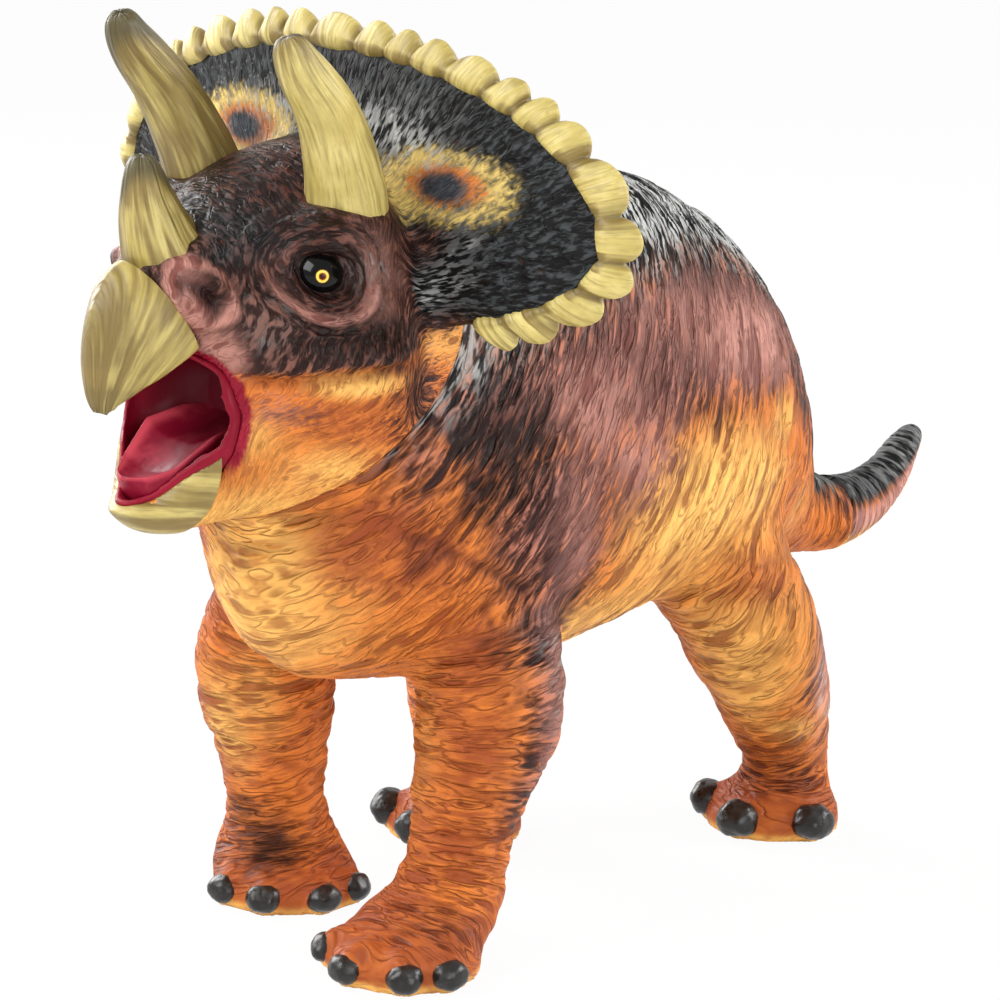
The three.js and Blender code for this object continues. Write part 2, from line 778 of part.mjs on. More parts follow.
// The edging is a channel that straddles the rim, and swells into a row of scallops
function frillEdging() {
  const steps = scallopCount * scallopSteps;
  const groove = frillRimThickness / 2 + seatGap;
  const sectionAt = (swell) => {
    const half = groove + edgingLip + scallopPlump * swell;
    const reach = edgingDepth + scallopReach * swell;
    const inner = -edgingGrip - edgingWave * swell;
    return [
      [-edgingGrip, groove],
      [seatGap, 0],
      [-edgingGrip, -groove],
      [inner, -groove - edgingLip / 2],
      [0, -half],
      [reach, -half / 3],
      [reach, half / 3],
      [0, half],
      [inner, groove + edgingLip / 2],
    ];
  };
  const rings = edgingAngles(steps).map((angle, step) => {
    const section = sectionAt(Math.abs(Math.sin(Math.PI * step / scallopSteps)));
    return section.map(([out, across]) => frillPoint(angle, 1, out).add(new THREE.Vector3(0, across, 0)));
  });
  return skin(rings, sectionAt(0).map((point) => new THREE.Vector2(...point)));
}

// Horns rise from a root inside the skull, and lean forwards as they rise. Their paths are shares of
// the splay, lean and length, and the root's share of the length follows from how deep it sits.
const browHornPathShares = [[0, 0.05, 0.1], [0.8, 0.4, 0.5], [1.1, 0.85, 0.82], [1, 1, 1]];
const browHornRootShares = [-0.6, -0.1];
const noseHornPathShares = [[0, 0, 0.05], [0, 0.7, 0.55], [0, 1, 1]];
const noseHornRootShares = [0, -0.9];
const hornTaper = { power: 1.3, tipPower: 16, tipShare: 0.15 };

function horn(place, rootShares, pathShares, radius, tipRadius) {
  const points = [rootShares, ...pathShares].map((shares) => new THREE.Vector3(...place(...shares)));
  return roundAlong(new THREE.CatmullRomCurve3(points), hornRings, hornSides, (share) => taperedRadius(
    radius, tipRadius, hornTaper, share));
}

function browHorn(side) {
  const place = (out, ahead, up) => [
    side * (browHornSide + browHornSplay * out), -(browHornPlace + browHornLean * ahead),
    browHornHeight + browHornLength * up];
  const rootShares = [...browHornRootShares, -hornRoot / browHornLength];
  return horn(place, rootShares, browHornPathShares, browHornRadius, browHornTipRadius);
}

function noseHorn() {
  const place = (out, ahead, up) => [
    browHornSplay * out, -(noseHornPlace + noseHornLean * ahead), noseHornHeight + noseHornLength * up];
  const rootShares = [...noseHornRootShares, -hornRoot / noseHornLength];
  return horn(place, rootShares, noseHornPathShares, noseHornRadius, noseHornTipRadius);
}

function eyeBall(side) {
  const place = [side * eyeSide, -eyePlace, eyeHeight];
  return egg([eyeRadius, eyeRadius, eyeRadius], place, 0, hornSides, hornSides / 2 + 1);
}

// Eyelids: a ring round the eye, turned to face sideways and a little ahead
function eyelid(side) {
  const ring = new THREE.TorusGeometry(eyeRadius + eyelidThickness / 2, eyelidThickness, lidSides, lidSteps);
  ring.rotateY(side * Math.PI / 2);
  ring.rotateZ(-side * radians(eyeTurn));
  ring.translate(
    side * (eyeSide + eyeRadius * eyelidOutShare), -eyePlace - eyeRadius * eyelidAheadShare, eyeHeight);
  return ring;
}

// A nostril is a raised rim, and a hollow that opens through its outer side
function nostril(side, margin, out) {
  return egg(
    [nostrilHalfWidth * nostrilLengthShare + margin, nostrilHalfWidth + margin, nostrilHalfHeight + margin],
    [side * (nostrilSide + out), -nostrilPlace - out / 2, nostrilHeight], -side * radians(nostrilTurn));
}

function browBoss(side) {
  return egg([browHalfWidth, browHalfLength, browHalfHeight],
    [side * browHornSide, -browHornPlace, browHornHeight - browDrop]);
}

function cheekSpike(side) {
  return egg([cheekRadius, cheekRadius * cheekLengthShare, cheekRadius * cheekHeightShare],
    [side * cheekSide, -cheekPlace, cheekHeight], side * radians(cheekTurn));
}

// The fold of skin at a corner of the mouth, between the cheek and the jaw
function lipCorner(side) {
  return egg([lipHalfWidth, lipHalfLength, lipHalfHeight], [side * lipSide, -lipPlace, lipHeight]);
}

// Tongue: a broad pad with a hollow top, shaped to the floor of the lining
const tongueWidestShare = 0.75;
const tongueFullShares = [1.1, 1];
const tongueRibShares = [
  [0, 0.6, 0.14], [0.2, 0.85, 0.14], [0.5, 0.92, 0.22],
  [0.76, 0.7, 0.5], [0.92, 0.42, 0.59], [1, 0.18, 0.61],
];

function tongue() {
  const ribs = tongueRibShares.map(([alongShare, widthShare, downShare]) => {
    const place = -tongueBack - tongueLength * alongShare;
    const level = -mouthFloor * downShare;
    return keeledRib([place, level - 2 * tongueThickness], [place, level], tongueHalfWidth * widthShare,
      tongueWidestShare, tongueFullShares);
  });
  return loft(ribs, mouthRings, mouthSides);
}

function tongueHollow() {
  const middle = tongueRibShares[2];
  return egg(
    [tongueHalfWidth - tongueThickness / 2, tongueLength / 2, tongueCup],
    [0, -tongueBack - tongueLength * middle[0], -mouthFloor * middle[2] + tongueCup / 2]);
}

function buildHead() {
  const core = frillCore();
  const bag = mouthBag();
  const beak = upperBeak();
  const beakSeat = solid(grown(beak, seatGap));
  const lowerBeakForm = jaw(lowerBeakRibShares, lowerBeakProud);
  const eyes = [-1, 1].map(eyeBall);
  const browHorns = [-1, 1].map(browHorn);
  const nose = noseHorn();

  let head = solid(skull()).add(solid(jaw(jawRibShares))).add(solid(core));
  for (const side of [-1, 1]) {
    head = head.add(solid(cheekSpike(side))).add(solid(browBoss(side))).add(solid(lipCorner(side)));
    head = head.add(solid(eyelid(side))).add(solid(nostril(side, nostrilRim, 0)));
  }
  const carriers = [skull(), jaw(jawRibShares), beak, lowerBeakForm, lipCorner(-1), lipCorner(1)];
  const lips = carriers.map((form) => solid(grown(form, liningLip)));
  const lining = lips.reduce((all, form) => all.add(form)).intersect(solid(bag))
    .subtract(solid(grown(bag, -liningWall)));
  const bagSeat = solid(grown(bag, seatGap));
  const plug = turned(
    plugProfile(neckStemRadius, neckBoreRadius, neckLip, neckLipThickness, neckRoot), origin, neckAxis);
  head = head.intersect(aheadOf(origin, neckAxis)).add(solid(plug));
  for (const side of [-1, 1]) {
    head = head.subtract(solid(nostril(side, 0, 2 * nostrilRim)));
  }
  for (const part of [...eyes, ...browHorns, nose]) {
    head = head.subtract(solid(grown(part, seatGap)));
  }
  head = head.subtract(bagSeat).subtract(beakSeat);
  head = head.subtract(solid(grown(lowerBeakForm, seatGap))).subtract(solid(lowerBeakForm));
  const hollow = turned([
    [0, -neckRadius],
    [neckBoreRadius, -neckRadius],
    [neckBoreRadius, skinWall],
    [headHollowRadius, headHollowShoulder],
    [headHollowRadius, headHollow / 2],
    [headHollowRadius / 2, headHollow],
    [0, headHollow],
  ], origin, neckAxis, hollowSides);
  const room = solid(hollow).subtract(solid(grown(bag, skinWall)));
  head = head.subtract(room);

  headGroup.add(piece('head_shell', head, headColour, vinylRoughness));
  headGroup.add(piece('frill_edging', solid(frillEdging()), hornColour, hornRoughness));
  headGroup.add(piece('nose_horn', solid(nose), hornColour, hornRoughness));
  headGroup.add(piece('brow_horn_right', solid(browHorns[0]), hornColour, hornRoughness));
  headGroup.add(piece('brow_horn_left', solid(browHorns[1]), hornColour, hornRoughness));
  const upperBeakBody = solid(beak).subtract(solid(grown(nose, seatGap))).subtract(bagSeat);
  headGroup.add(piece('upper_beak', upperBeakBody, hornColour, hornRoughness));
  headGroup.add(piece('lower_beak', solid(lowerBeakForm).subtract(bagSeat), hornColour, hornRoughness));
  headGroup.add(piece('mouth_lining', lining, mouthColour, glossRoughness));
  const tongueBody = solid(tongue()).intersect(solid(grown(bag, -liningWall - seatGap)))
    .subtract(solid(tongueHollow()));
  headGroup.add(piece('tongue', tongueBody, tongueColour, glossRoughness));
  headGroup.add(piece('eye_right', solid(eyes[0]), eyeColour, glossRoughness));
  headGroup.add(piece('eye_left', solid(eyes[1]), eyeColour, glossRoughness));
}

buildHead();

// The figure stands on the floor, with its origin under the middle of its box
figure.updateMatrixWorld(true);
const box = new THREE.Box3().setFromObject(figure, true);
const middle = box.getCenter(new THREE.Vector3());
figure.position.set(-middle.x, -middle.y, -box.min.z);
figure.updateMatrixWorld(true);

export default figure;
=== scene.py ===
"""Looks of a toy dinosaur figure: a horned, frilled plant eater in hollow vinyl, painted by airbrush.

Lengths inside the classes are millimetres in the figure's own frame: the middle of the neck seam lies at
Joints.neck, the figure looks along -Y and its left side is +X. Meshes are written in metres in the frame of
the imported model.
"""

from __future__ import annotations

import json
import logging
import math
from dataclasses import dataclass, field
from enum import Enum

import bpy
import numpy as np
from mathutils import Matrix, Vector
from mathutils.kdtree import KDTree


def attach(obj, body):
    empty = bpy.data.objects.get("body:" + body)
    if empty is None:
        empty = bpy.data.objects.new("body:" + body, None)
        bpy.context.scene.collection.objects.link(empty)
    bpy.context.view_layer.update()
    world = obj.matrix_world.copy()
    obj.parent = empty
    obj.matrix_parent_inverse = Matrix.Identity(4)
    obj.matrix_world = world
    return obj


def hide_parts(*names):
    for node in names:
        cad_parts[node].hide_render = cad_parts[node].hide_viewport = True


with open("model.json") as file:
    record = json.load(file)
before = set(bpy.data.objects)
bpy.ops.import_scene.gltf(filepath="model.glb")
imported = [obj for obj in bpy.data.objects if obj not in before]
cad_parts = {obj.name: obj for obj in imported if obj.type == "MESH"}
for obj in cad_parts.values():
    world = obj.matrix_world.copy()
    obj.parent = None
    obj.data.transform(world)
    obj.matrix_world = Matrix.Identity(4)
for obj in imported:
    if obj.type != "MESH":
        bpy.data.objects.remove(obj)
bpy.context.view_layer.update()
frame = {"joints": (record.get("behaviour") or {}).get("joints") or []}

LOG = logging.getLogger("figure")
Array = np.ndarray
Colour = tuple[float, float, float, float]
Socket = bpy.types.NodeSocket
Spots = list[tuple[float, ...]]

SHARED_SEED = 41
METRE = 1000.0  # millimetres
ORIGIN = (0.0, 0.0, 0.0)


# Small helpers on arrays


def unit(vectors: Array) -> Array:
    """Vectors scaled to length one."""
    return vectors / np.maximum(np.linalg.norm(vectors, axis=-1, keepdims=True), 1e-9)


def ease(low: float, high: float, value: Array) -> Array:
    """A smooth step from 0 at low to 1 at high, either of which may be the larger."""
    share = np.clip((value - low) / (high - low), 0.0, 1.0)
    return share * share * (3.0 - 2.0 * share)


def bump(value: Array, middle: float, width: float) -> Array:
    """A bell curve of height one."""
    return np.exp(-(((value - middle) / width) ** 2))


def turned_z(points: Array, degrees: float) -> Array:
    """Points turned about +Z through the origin."""
    angle = math.radians(degrees)
    c, s = math.cos(angle), math.sin(angle)
    return points @ np.array([[c, s, 0.0], [-s, c, 0.0], [0.0, 0.0, 1.0]])


@dataclass
class Patch:
    """A surface: its corner points, its faces, and the values that are painted on its corners."""

    points: Array
    faces: list[tuple[int, ...]]
    marks: dict[str, Array] = field(default_factory=dict)

    def joined(self, *others: "Patch") -> "Patch":
        """One patch of this and others, without their marks.

        Args:
            *others: The patches that follow this one.

        Returns:
            The new patch.
        """
        points, faces = [self.points], list(self.faces)
        count = len(self.points)
        for other in others:
            faces += [tuple(corner + count for corner in face) for face in other.faces]
            points.append(other.points)
            count += len(other.points)
        return Patch(np.concatenate(points), faces)

    def blank(self, *names: str) -> None:
        """Adds marks that are nothing everywhere."""
        for name in names:
            self.marks[name] = np.zeros(len(self.points))


def volume_of(points: Array, faces: list[tuple[int, ...]]) -> float:
    """The signed volume inside a closed surface.

    Args:
        points: Its corners.
        faces: Its faces, with their corners in order.

    Returns:
        The volume, above nothing where the faces look outwards.
    """
    total = 0.0
    for size in {len(face) for face in faces}:
        corners = points[np.array([face for face in faces if len(face) == size])]
        for step in range(1, size - 1):
            a, b, c = corners[:, 0], corners[:, step], corners[:, step + 1]
            total += float(np.einsum("ij,ij->i", a, np.cross(b, c)).sum()) / 6.0
    return total


def tube(rings: Array, round_trip: bool = False) -> Patch:
    """A closed surface over a grid of points.

    Row r of the grid is a closed ring. Faces join each ring to the next, and a fan closes each end, or the
    last ring joins the first where the tube makes a round trip.

    Args:
        rings: Points of shape (rings, sides, 3).
        round_trip: Whether the tube closes on itself.

    Returns:
        The patch, with its faces outwards.
    """
    count, sides, _ = rings.shape
    points = rings.reshape(-1, 3)
    here = np.arange(count if round_trip else count - 1)[:, None] * sides + np.arange(sides)[None, :]
    beside = np.roll(here, -1, axis=1)
    total = count * sides
    quads = np.stack([here, beside, (beside + sides) % total, (here + sides) % total], axis=-1).reshape(-1, 4)
    faces = [tuple(face) for face in quads.tolist()]
    if not round_trip:
        hubs = np.stack([rings[0].mean(axis=0), rings[-1].mean(axis=0)])
        points = np.concatenate([points, hubs])
        last = (count - 1) * sides
        ring = list(range(sides))
        faces += [(total, (side + 1) % sides, side) for side in ring]
        faces += [(total + 1, last + side, last + (side + 1) % sides) for side in ring]
    if volume_of(points, faces) < 0:
        faces = [face[::-1] for face in faces]
    return Patch(points, faces)


def smooth_rows(rows: Array, count: int) -> Array:
    """Values between rows by a cubic through them, with level ends.

    Args:
        rows: Knots of shape (knots, values).
        count: How many rows are worked out, evenly from the first knot to the last.

    Returns:
        An array of shape (count, values).
    """
    padded = np.concatenate([rows[1:2], rows, rows[-2:-1]])
    place = np.linspace(0.0, len(rows) - 1.0, count)
    knot = np.minimum(place.astype(int), len(rows) - 2)
    t = (place - knot)[:, None]
    a, b, c, d = (padded[knot + step] for step in range(4))
    return 0.5 * (2 * b + (c - a) * t + (2 * a - 5 * b + 4 * c - d) * t**2 + (3 * b - a - 3 * c + d) * t**3)


@dataclass(frozen=True)
class Rib:
    """A cross-section: middle, directions to its side and top, reaches, and fullness above and below."""

    middle: tuple[float, float, float]
    side: tuple[float, float, float]
    top: tuple[float, float, float]
    half_width: float
    rise: float
    drop: float
    full_above: float = 1.0
    full_below: float = 1.0

    def row(self) -> list[float]:
        """The rib as one row of numbers."""
        reaches = [self.half_width, self.rise, self.drop, self.full_above, self.full_below]
        return [*self.middle, *self.side, *self.top, *reaches]


def keeled_rib(keel: tuple[float, float], crest: tuple[float, float], half_width: float,
               widest: float, full: tuple[float, float]) -> Rib:
    """A rib between a point on the keel and one on the crest of the middle plane, each along and up.

    Args:
        keel: Its lowest point.
        crest: Its highest point.
        half_width: Half its width.
        widest: Share of the way from keel to crest at which it is widest.
        full: Fullness above and below, where 1 is an ellipse.

    Returns:
        The rib.
    """
    low, high = np.array([0.0, *keel]), np.array([0.0, *crest])
    middle = low + (high - low) * widest
    top = unit(high - low)
    return Rib(tuple(middle), (1.0, 0.0, 0.0), tuple(top), half_width, float(np.linalg.norm(high - middle)),
               float(np.linalg.norm(middle - low)), *full)


def round_rib(middle: Array, side: Array, top: Array, radius: float) -> Rib:
    """A round cross-section."""
    return Rib(tuple(middle), tuple(side), tuple(top), radius, radius, radius)


def loft(ribs: list[Rib], rings: int, sides: int) -> Patch:
    """A skin through a row of ribs.

    Every value of the ribs is carried on by a cubic. Round each rib the width follows the cosine of the
    angle and the height its sine, each raised to one over the fullness.

    Args:
        ribs: The cross-sections, in order.
        rings: Rings along the skin.
        sides: Points round each ring.

    Returns:
        The closed patch.
    """
    rows = smooth_rows(np.array([rib.row() for rib in ribs]), rings)
    angle = np.linspace(0.0, 2 * math.pi, sides, endpoint=False)[None, :]
    across, up = np.cos(angle), np.sin(angle)
    full = np.where(up > 0, rows[:, 12:13], rows[:, 13:14])
    reach = np.where(up > 0, rows[:, 10:11], rows[:, 11:12])
    width = rows[:, 9:10] * np.sign(across) * np.abs(across) ** (1 / full)
    height = reach * np.sign(up) * np.abs(up) ** (1 / np.maximum(full, 1.0))
    side, top = unit(rows[:, 3:6]), unit(rows[:, 6:9])
    return tube(rows[:, None, 0:3] + width[..., None] * side[:, None] + height[..., None] * top[:, None])


def egg(half: tuple[float, float, float], place: tuple[float, float, float], degrees: float = 0.0,
        rows: int = 20, sides: int = 28) -> Patch:
    """An egg of three half sizes, turned about the vertical: sines and cosines of two angles."""
    down = np.linspace(0.04, math.pi - 0.04, rows)[:, None]
    angle = np.linspace(0.0, 2 * math.pi, sides, endpoint=False)[None, :]
    flat = np.ones_like(angle)
    grid = np.stack([np.sin(down) * np.cos(angle), np.sin(down) * np.sin(angle), np.cos(down) * flat], axis=-1)
    return tube(turned_z(grid * np.array(half), degrees) + np.array(place))


def swept(path: Array, radii: Array, sides: int, squash: Array | None = None) -> Patch:
    """A round body along a path: at each point a circle of the given radius stands square to the path.

    Args:
        path: Points of shape (rings, 3), in or near one plane.
        radii: One radius for each point, or one for each point and side.
        sides: Points round each circle.
        squash: Share of the radius kept across the second direction, one for each point.

    Returns:
        The closed patch.
    """
    ahead = unit(np.gradient(path, axis=0))
    side = unit(np.cross(np.broadcast_to([0.0, 1.0, 0.15], ahead.shape), ahead))
    other = np.cross(ahead, side)
    angle = np.linspace(0.0, 2 * math.pi, sides, endpoint=False)
    radii = radii if radii.ndim == 2 else np.repeat(radii[:, None], sides, axis=1)
    keep = np.ones(len(path)) if squash is None else squash
    grid = path[:, None] + (radii * np.cos(angle))[..., None] * side[:, None]
    return tube(grid + (radii * np.sin(angle) * keep[:, None])[..., None] * other[:, None])


class Grain:
    """Smooth random bumps in space: slopes picked by a shuffled table and blended between cell corners."""

    def __init__(self, seed: int) -> None:
        """Fills the tables from a seed."""
        rng = np.random.default_rng(seed)
        self.table = np.tile(rng.permutation(256), 3)
        self.slopes = unit(rng.normal(size=(256, 3)))

    def at(self, points: Array) -> Array:
        """Values from about -1 to 1 at points measured in cells.

        Args:
            points: Places in cells.

        Returns:
            One value for each place.
        """
        cell = np.floor(points).astype(int)
        inside = points - cell
        blend = inside**3 * (inside * (inside * 6 - 15) + 10)
        cell &= 255
        total = np.zeros(len(points))
        for corner in range(8):
            offset = np.array([corner & 1, corner >> 1 & 1, corner >> 2 & 1])
            x, y, z = (cell + offset).T
            slope = self.slopes[self.table[self.table[self.table[x] + y] + z]]
            weight = np.prod(np.where(offset, blend, 1 - blend), axis=1)
            total += weight * np.einsum("ij,ij->i", slope, inside - offset)
        return total * 1.6


class Blender:
    """Turns patches into Blender's objects and back."""

    @staticmethod
    def object(name: str, patch: Patch, shift: Array | tuple[float, ...] = ORIGIN) -> bpy.types.Object:
        """Makes an object in metres from a patch in millimetres, moved by a shift, with its marks.

        Args:
            name: The object's name.
            patch: Its surface.
            shift: How far it is moved, in millimetres.

        Returns:
            The object, in the scene.
        """
        mesh = bpy.data.meshes.new(name)
        mesh.from_pydata(((patch.points + np.array(shift)) / METRE).tolist(), [], patch.faces)
        for mark, values in patch.marks.items():
            made = mesh.attributes.new(mark, "FLOAT", "POINT")
            made.data.foreach_set("value", values.astype(np.float32))
        mesh.polygons.foreach_set("use_smooth", np.ones(len(mesh.polygons), bool))
        mesh.update()
        made = bpy.data.objects.new(name, mesh)
        bpy.context.scene.collection.objects.link(made)
        return made

    @staticmethod
    def patch(made: bpy.types.Object) -> Patch:
        """Takes the finished surface of an object back as a patch, and removes the object.

        Args:
            made: The object.

        Returns:
            Its surface in millimetres, without marks.
        """
        graph = bpy.context.evaluated_depsgraph_get()
        mesh = bpy.data.meshes.new_from_object(made.evaluated_get(graph))
        points = np.zeros(len(mesh.vertices) * 3)
        mesh.vertices.foreach_get("co", points)
        faces = [tuple(face.vertices) for face in mesh.polygons]
        bpy.data.objects.remove(made)
        bpy.data.meshes.remove(mesh)
        return Patch(points.reshape(-1, 3) * METRE, faces)

    @classmethod
    def remeshed(cls, parts: list[Patch], cell: float) -> Patch:
        """Joins overlapping closed surfaces into one skin of even cells.

        Args:
            parts: The surfaces.
            cell: The size of a cell.

        Returns:
            The skin, without marks.
        """
        made = cls.object("work", parts[0].joined(*parts[1:]))
        change = made.modifiers.new("even", "REMESH")
        change.mode = "VOXEL"
        change.voxel_size = cell / METRE
        return cls.patch(made)

    @classmethod
    def cut(cls, body: Patch, tool: Patch, how: str = "DIFFERENCE") -> Patch:
        """Cuts one closed surface with another, and leaves its marks behind.

        Args:
            body: What is cut.
            tool: What it is cut with.
            how: Blender's name for the operation.

        Returns:
            The new surface.
        """
        made, other = cls.object("work", Patch(body.points, body.faces)), cls.object("tool", tool)
        change = made.modifiers.new("cut", "BOOLEAN")
        change.operation, change.object, change.solver = how, other, "EXACT"
        result = cls.patch(made)
        bpy.data.objects.remove(other)
        return result

    @classmethod
    def cut_marked(cls, body: Patch, tool: Patch) -> Patch:
        """Cuts one closed surface with another, and takes each mark over from the closest old corner."""
        result = cls.cut(body, tool)
        order = nearest(result.points, body.points)
        result.marks = {name: values[order] for name, values in body.marks.items()}
        return result


def edges_of(faces: list[tuple[int, ...]]) -> Array:
    """Each pair of neighbouring corners once.

    Args:
        faces: The faces, with their corners in order.

    Returns:
        Pairs of corners, of shape (edges, 2).
    """
    pairs = []
    for size in {len(face) for face in faces}:
        rows = np.array([face for face in faces if len(face) == size])
        pairs += [np.stack([rows[:, step], rows[:, (step + 1) % size]], axis=1) for step in range(size)]
    return np.unique(np.sort(np.concatenate(pairs), axis=1), axis=0)


def smoothed(patch: Patch, rounds: int, share: Array | float = 0.5) -> Patch:
    """Moves each corner towards the mean of its neighbours, several times over.

    Args:
        patch: The surface.
        rounds: How often.
        share: How far towards the mean, for all corners or for each.

    Returns:
        The smoothed patch.
    """
    edges = edges_of(patch.faces)
    count = len(patch.points)
    a, b = edges.T
    near = np.maximum(np.bincount(a, minlength=count) + np.bincount(b, minlength=count), 1)
    points = patch.points.copy()
    share = np.broadcast_to(np.asarray(share, float), (count,))[:, None]
    for _ in range(rounds):
        total = np.stack([np.bincount(a, points[b, k], count) + np.bincount(b, points[a, k], count)
                          for k in range(3)], axis=1)
        points += share * (total / near[:, None] - points)
    return Patch(points, patch.faces, patch.marks)


def normals_of(patch: Patch) -> Array:
    """Unit normals at the corners: the sum of the crossed diagonals of the faces round each.

    Args:
        patch: The surface.

    Returns:
        One direction of length one for each corner.
    """
    total = np.zeros_like(patch.points)
    for size in {len(face) for face in patch.faces}:
        rows = np.array([face for face in patch.faces if len(face) == size])
        corners = patch.points[rows]
        if size == 3:
            face = np.cross(corners[:, 1] - corners[:, 0], corners[:, 2] - corners[:, 0])
        else:
            face = np.cross(corners[:, 2] - corners[:, 0], corners[:, 3] - corners[:, 1])
        for step in range(size):
            for axis in range(3):
                total[:, axis] += np.bincount(rows[:, step], face[:, axis], len(total))
    return unit(total)


def raised(patch: Patch, amount: Array | float) -> Patch:
    """Moves the corners out along their normals."""
    amount = np.broadcast_to(np.asarray(amount, float), (len(patch.points),))[:, None]
    return Patch(patch.points + normals_of(patch) * amount, patch.faces, patch.marks)


def sprayed(points: Array, spots: Spots) -> Array:
    """Paint sprayed in soft spots, from 0 to 1.

    What stays unpainted is the product over the spots of one less the spot's strength times a bell curve of
    the distance from its middle, measured in its three reaches.

    Args:
        points: Places in millimetres.
        spots: Rows of x, y, z, three reaches and strength.

    Returns:
        How covered each place is.
    """
    bare = np.ones(len(points))
    for x, y, z, reach_x, reach_y, reach_z, strength in spots:
        away = (points - np.array([x, y, z])) / np.array([reach_x, reach_y, reach_z])
        bare *= 1.0 - strength * np.exp(-np.sum(away**2, axis=1))
    return 1.0 - bare


@dataclass(frozen=True)
class Joints:
    """Places of the two seams and the turn of the head, in the figure's own frame."""

    neck: tuple[float, float, float] = (-1.7, 0.0, 119.0)
    tail: tuple[float, float, float] = (5.0, 182.0, 62.5)
    neck_tilt: float = 45.0
    neck_radius: float = 34.0
    head_turn: float = -8.3
    seam_gap: float = 0.05

    def shift(self) -> Array:
        """From the figure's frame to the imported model's, in millimetres."""
        place = next(joint["pos_m"] for joint in frame["joints"] if joint["name"] == "neck_swivel")
        return np.array(place) * METRE - np.array(self.neck)

    def neck_axes(self) -> Array:
        """The neck seam's own axes in the head's frame: which way it looks, its side and its top."""
        tilt = math.radians(self.neck_tilt)
        return np.array([[0.0, -math.cos(tilt), math.sin(tilt)], [1.0, 0.0, 0.0],
                         [0.0, math.sin(tilt), math.cos(tilt)]])

    def seam_axes(self) -> Array:
        """The neck seam's axes in the figure's frame."""
        return turned_z(self.neck_axes(), self.head_turn)

    def from_head(self, patch: Patch) -> Patch:
        """A patch in the head's frame, taken to the figure's, with its marks."""
        return Patch(turned_z(patch.points, self.head_turn) + np.array(self.neck), patch.faces, patch.marks)

    def to_head(self, patch: Patch) -> Patch:
        """A patch in the figure's frame, taken to the head's."""
        return Patch(turned_z(patch.points - np.array(self.neck), -self.head_turn), patch.faces)


JOINTS = Joints()
SHIFT = JOINTS.shift()


def seam_depth(points: Array) -> Array:
    """How far places in the figure's frame lie ahead of the neck seam's plane."""
    return (points - np.array(JOINTS.neck)) @ JOINTS.seam_axes()[0]


def half_space(offset: float, way: float) -> Patch:
    """A large block on one side of the neck seam's plane.

    Args:
        offset: How far ahead of the plane its face stands.
        way: 1 for the block ahead of its face, -1 for the one behind it.

    Returns:
        The block, turned to the seam, in the figure's frame.
    """
    half = 400.0
    axis, side, top = JOINTS.seam_axes()
    ring = np.array([[-1, -1], [1, -1], [1, 1], [-1, 1]]) * half
    face = np.array(JOINTS.neck) + axis * offset + ring[:, :1] * side + ring[:, 1:] * top
    return tube(np.stack([face, face + axis * way * half]))


def nearest(points: Array, others: Array) -> Array:
    """For each point the number of the closest other point."""
    tree = KDTree(len(others))
    for number, other in enumerate(others.tolist()):
        tree.insert(other, number)
    tree.balance()
    return np.array([tree.find(point)[1] for point in points.tolist()])


class Body(Enum):
    """The bodies that pieces ride on."""

    TRUNK = "body"
    HEAD = "head"
    TAIL = "tail"


def place(name: str, patch: Patch, body: Body, slot: str, nodes: list[str], finish: bpy.types.Material) -> None:
    """Puts a finished piece in the scene in place of its solids.

    Args:
        name: The piece's name.
        patch: Its surface in the figure's frame.
        body: What it rides on.
        slot: The record's material slot; not used.
        nodes: The solids that it stands for.
        finish: Its material.
    """
    made = Blender.object(name, patch, SHIFT)
    made.data.materials.append(finish)
    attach(made, body.value)
    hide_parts(*nodes)
    LOG.info("%s: %d corners, %d faces, on %s", name, len(patch.points), len(patch.faces), body.value)


# Finishes


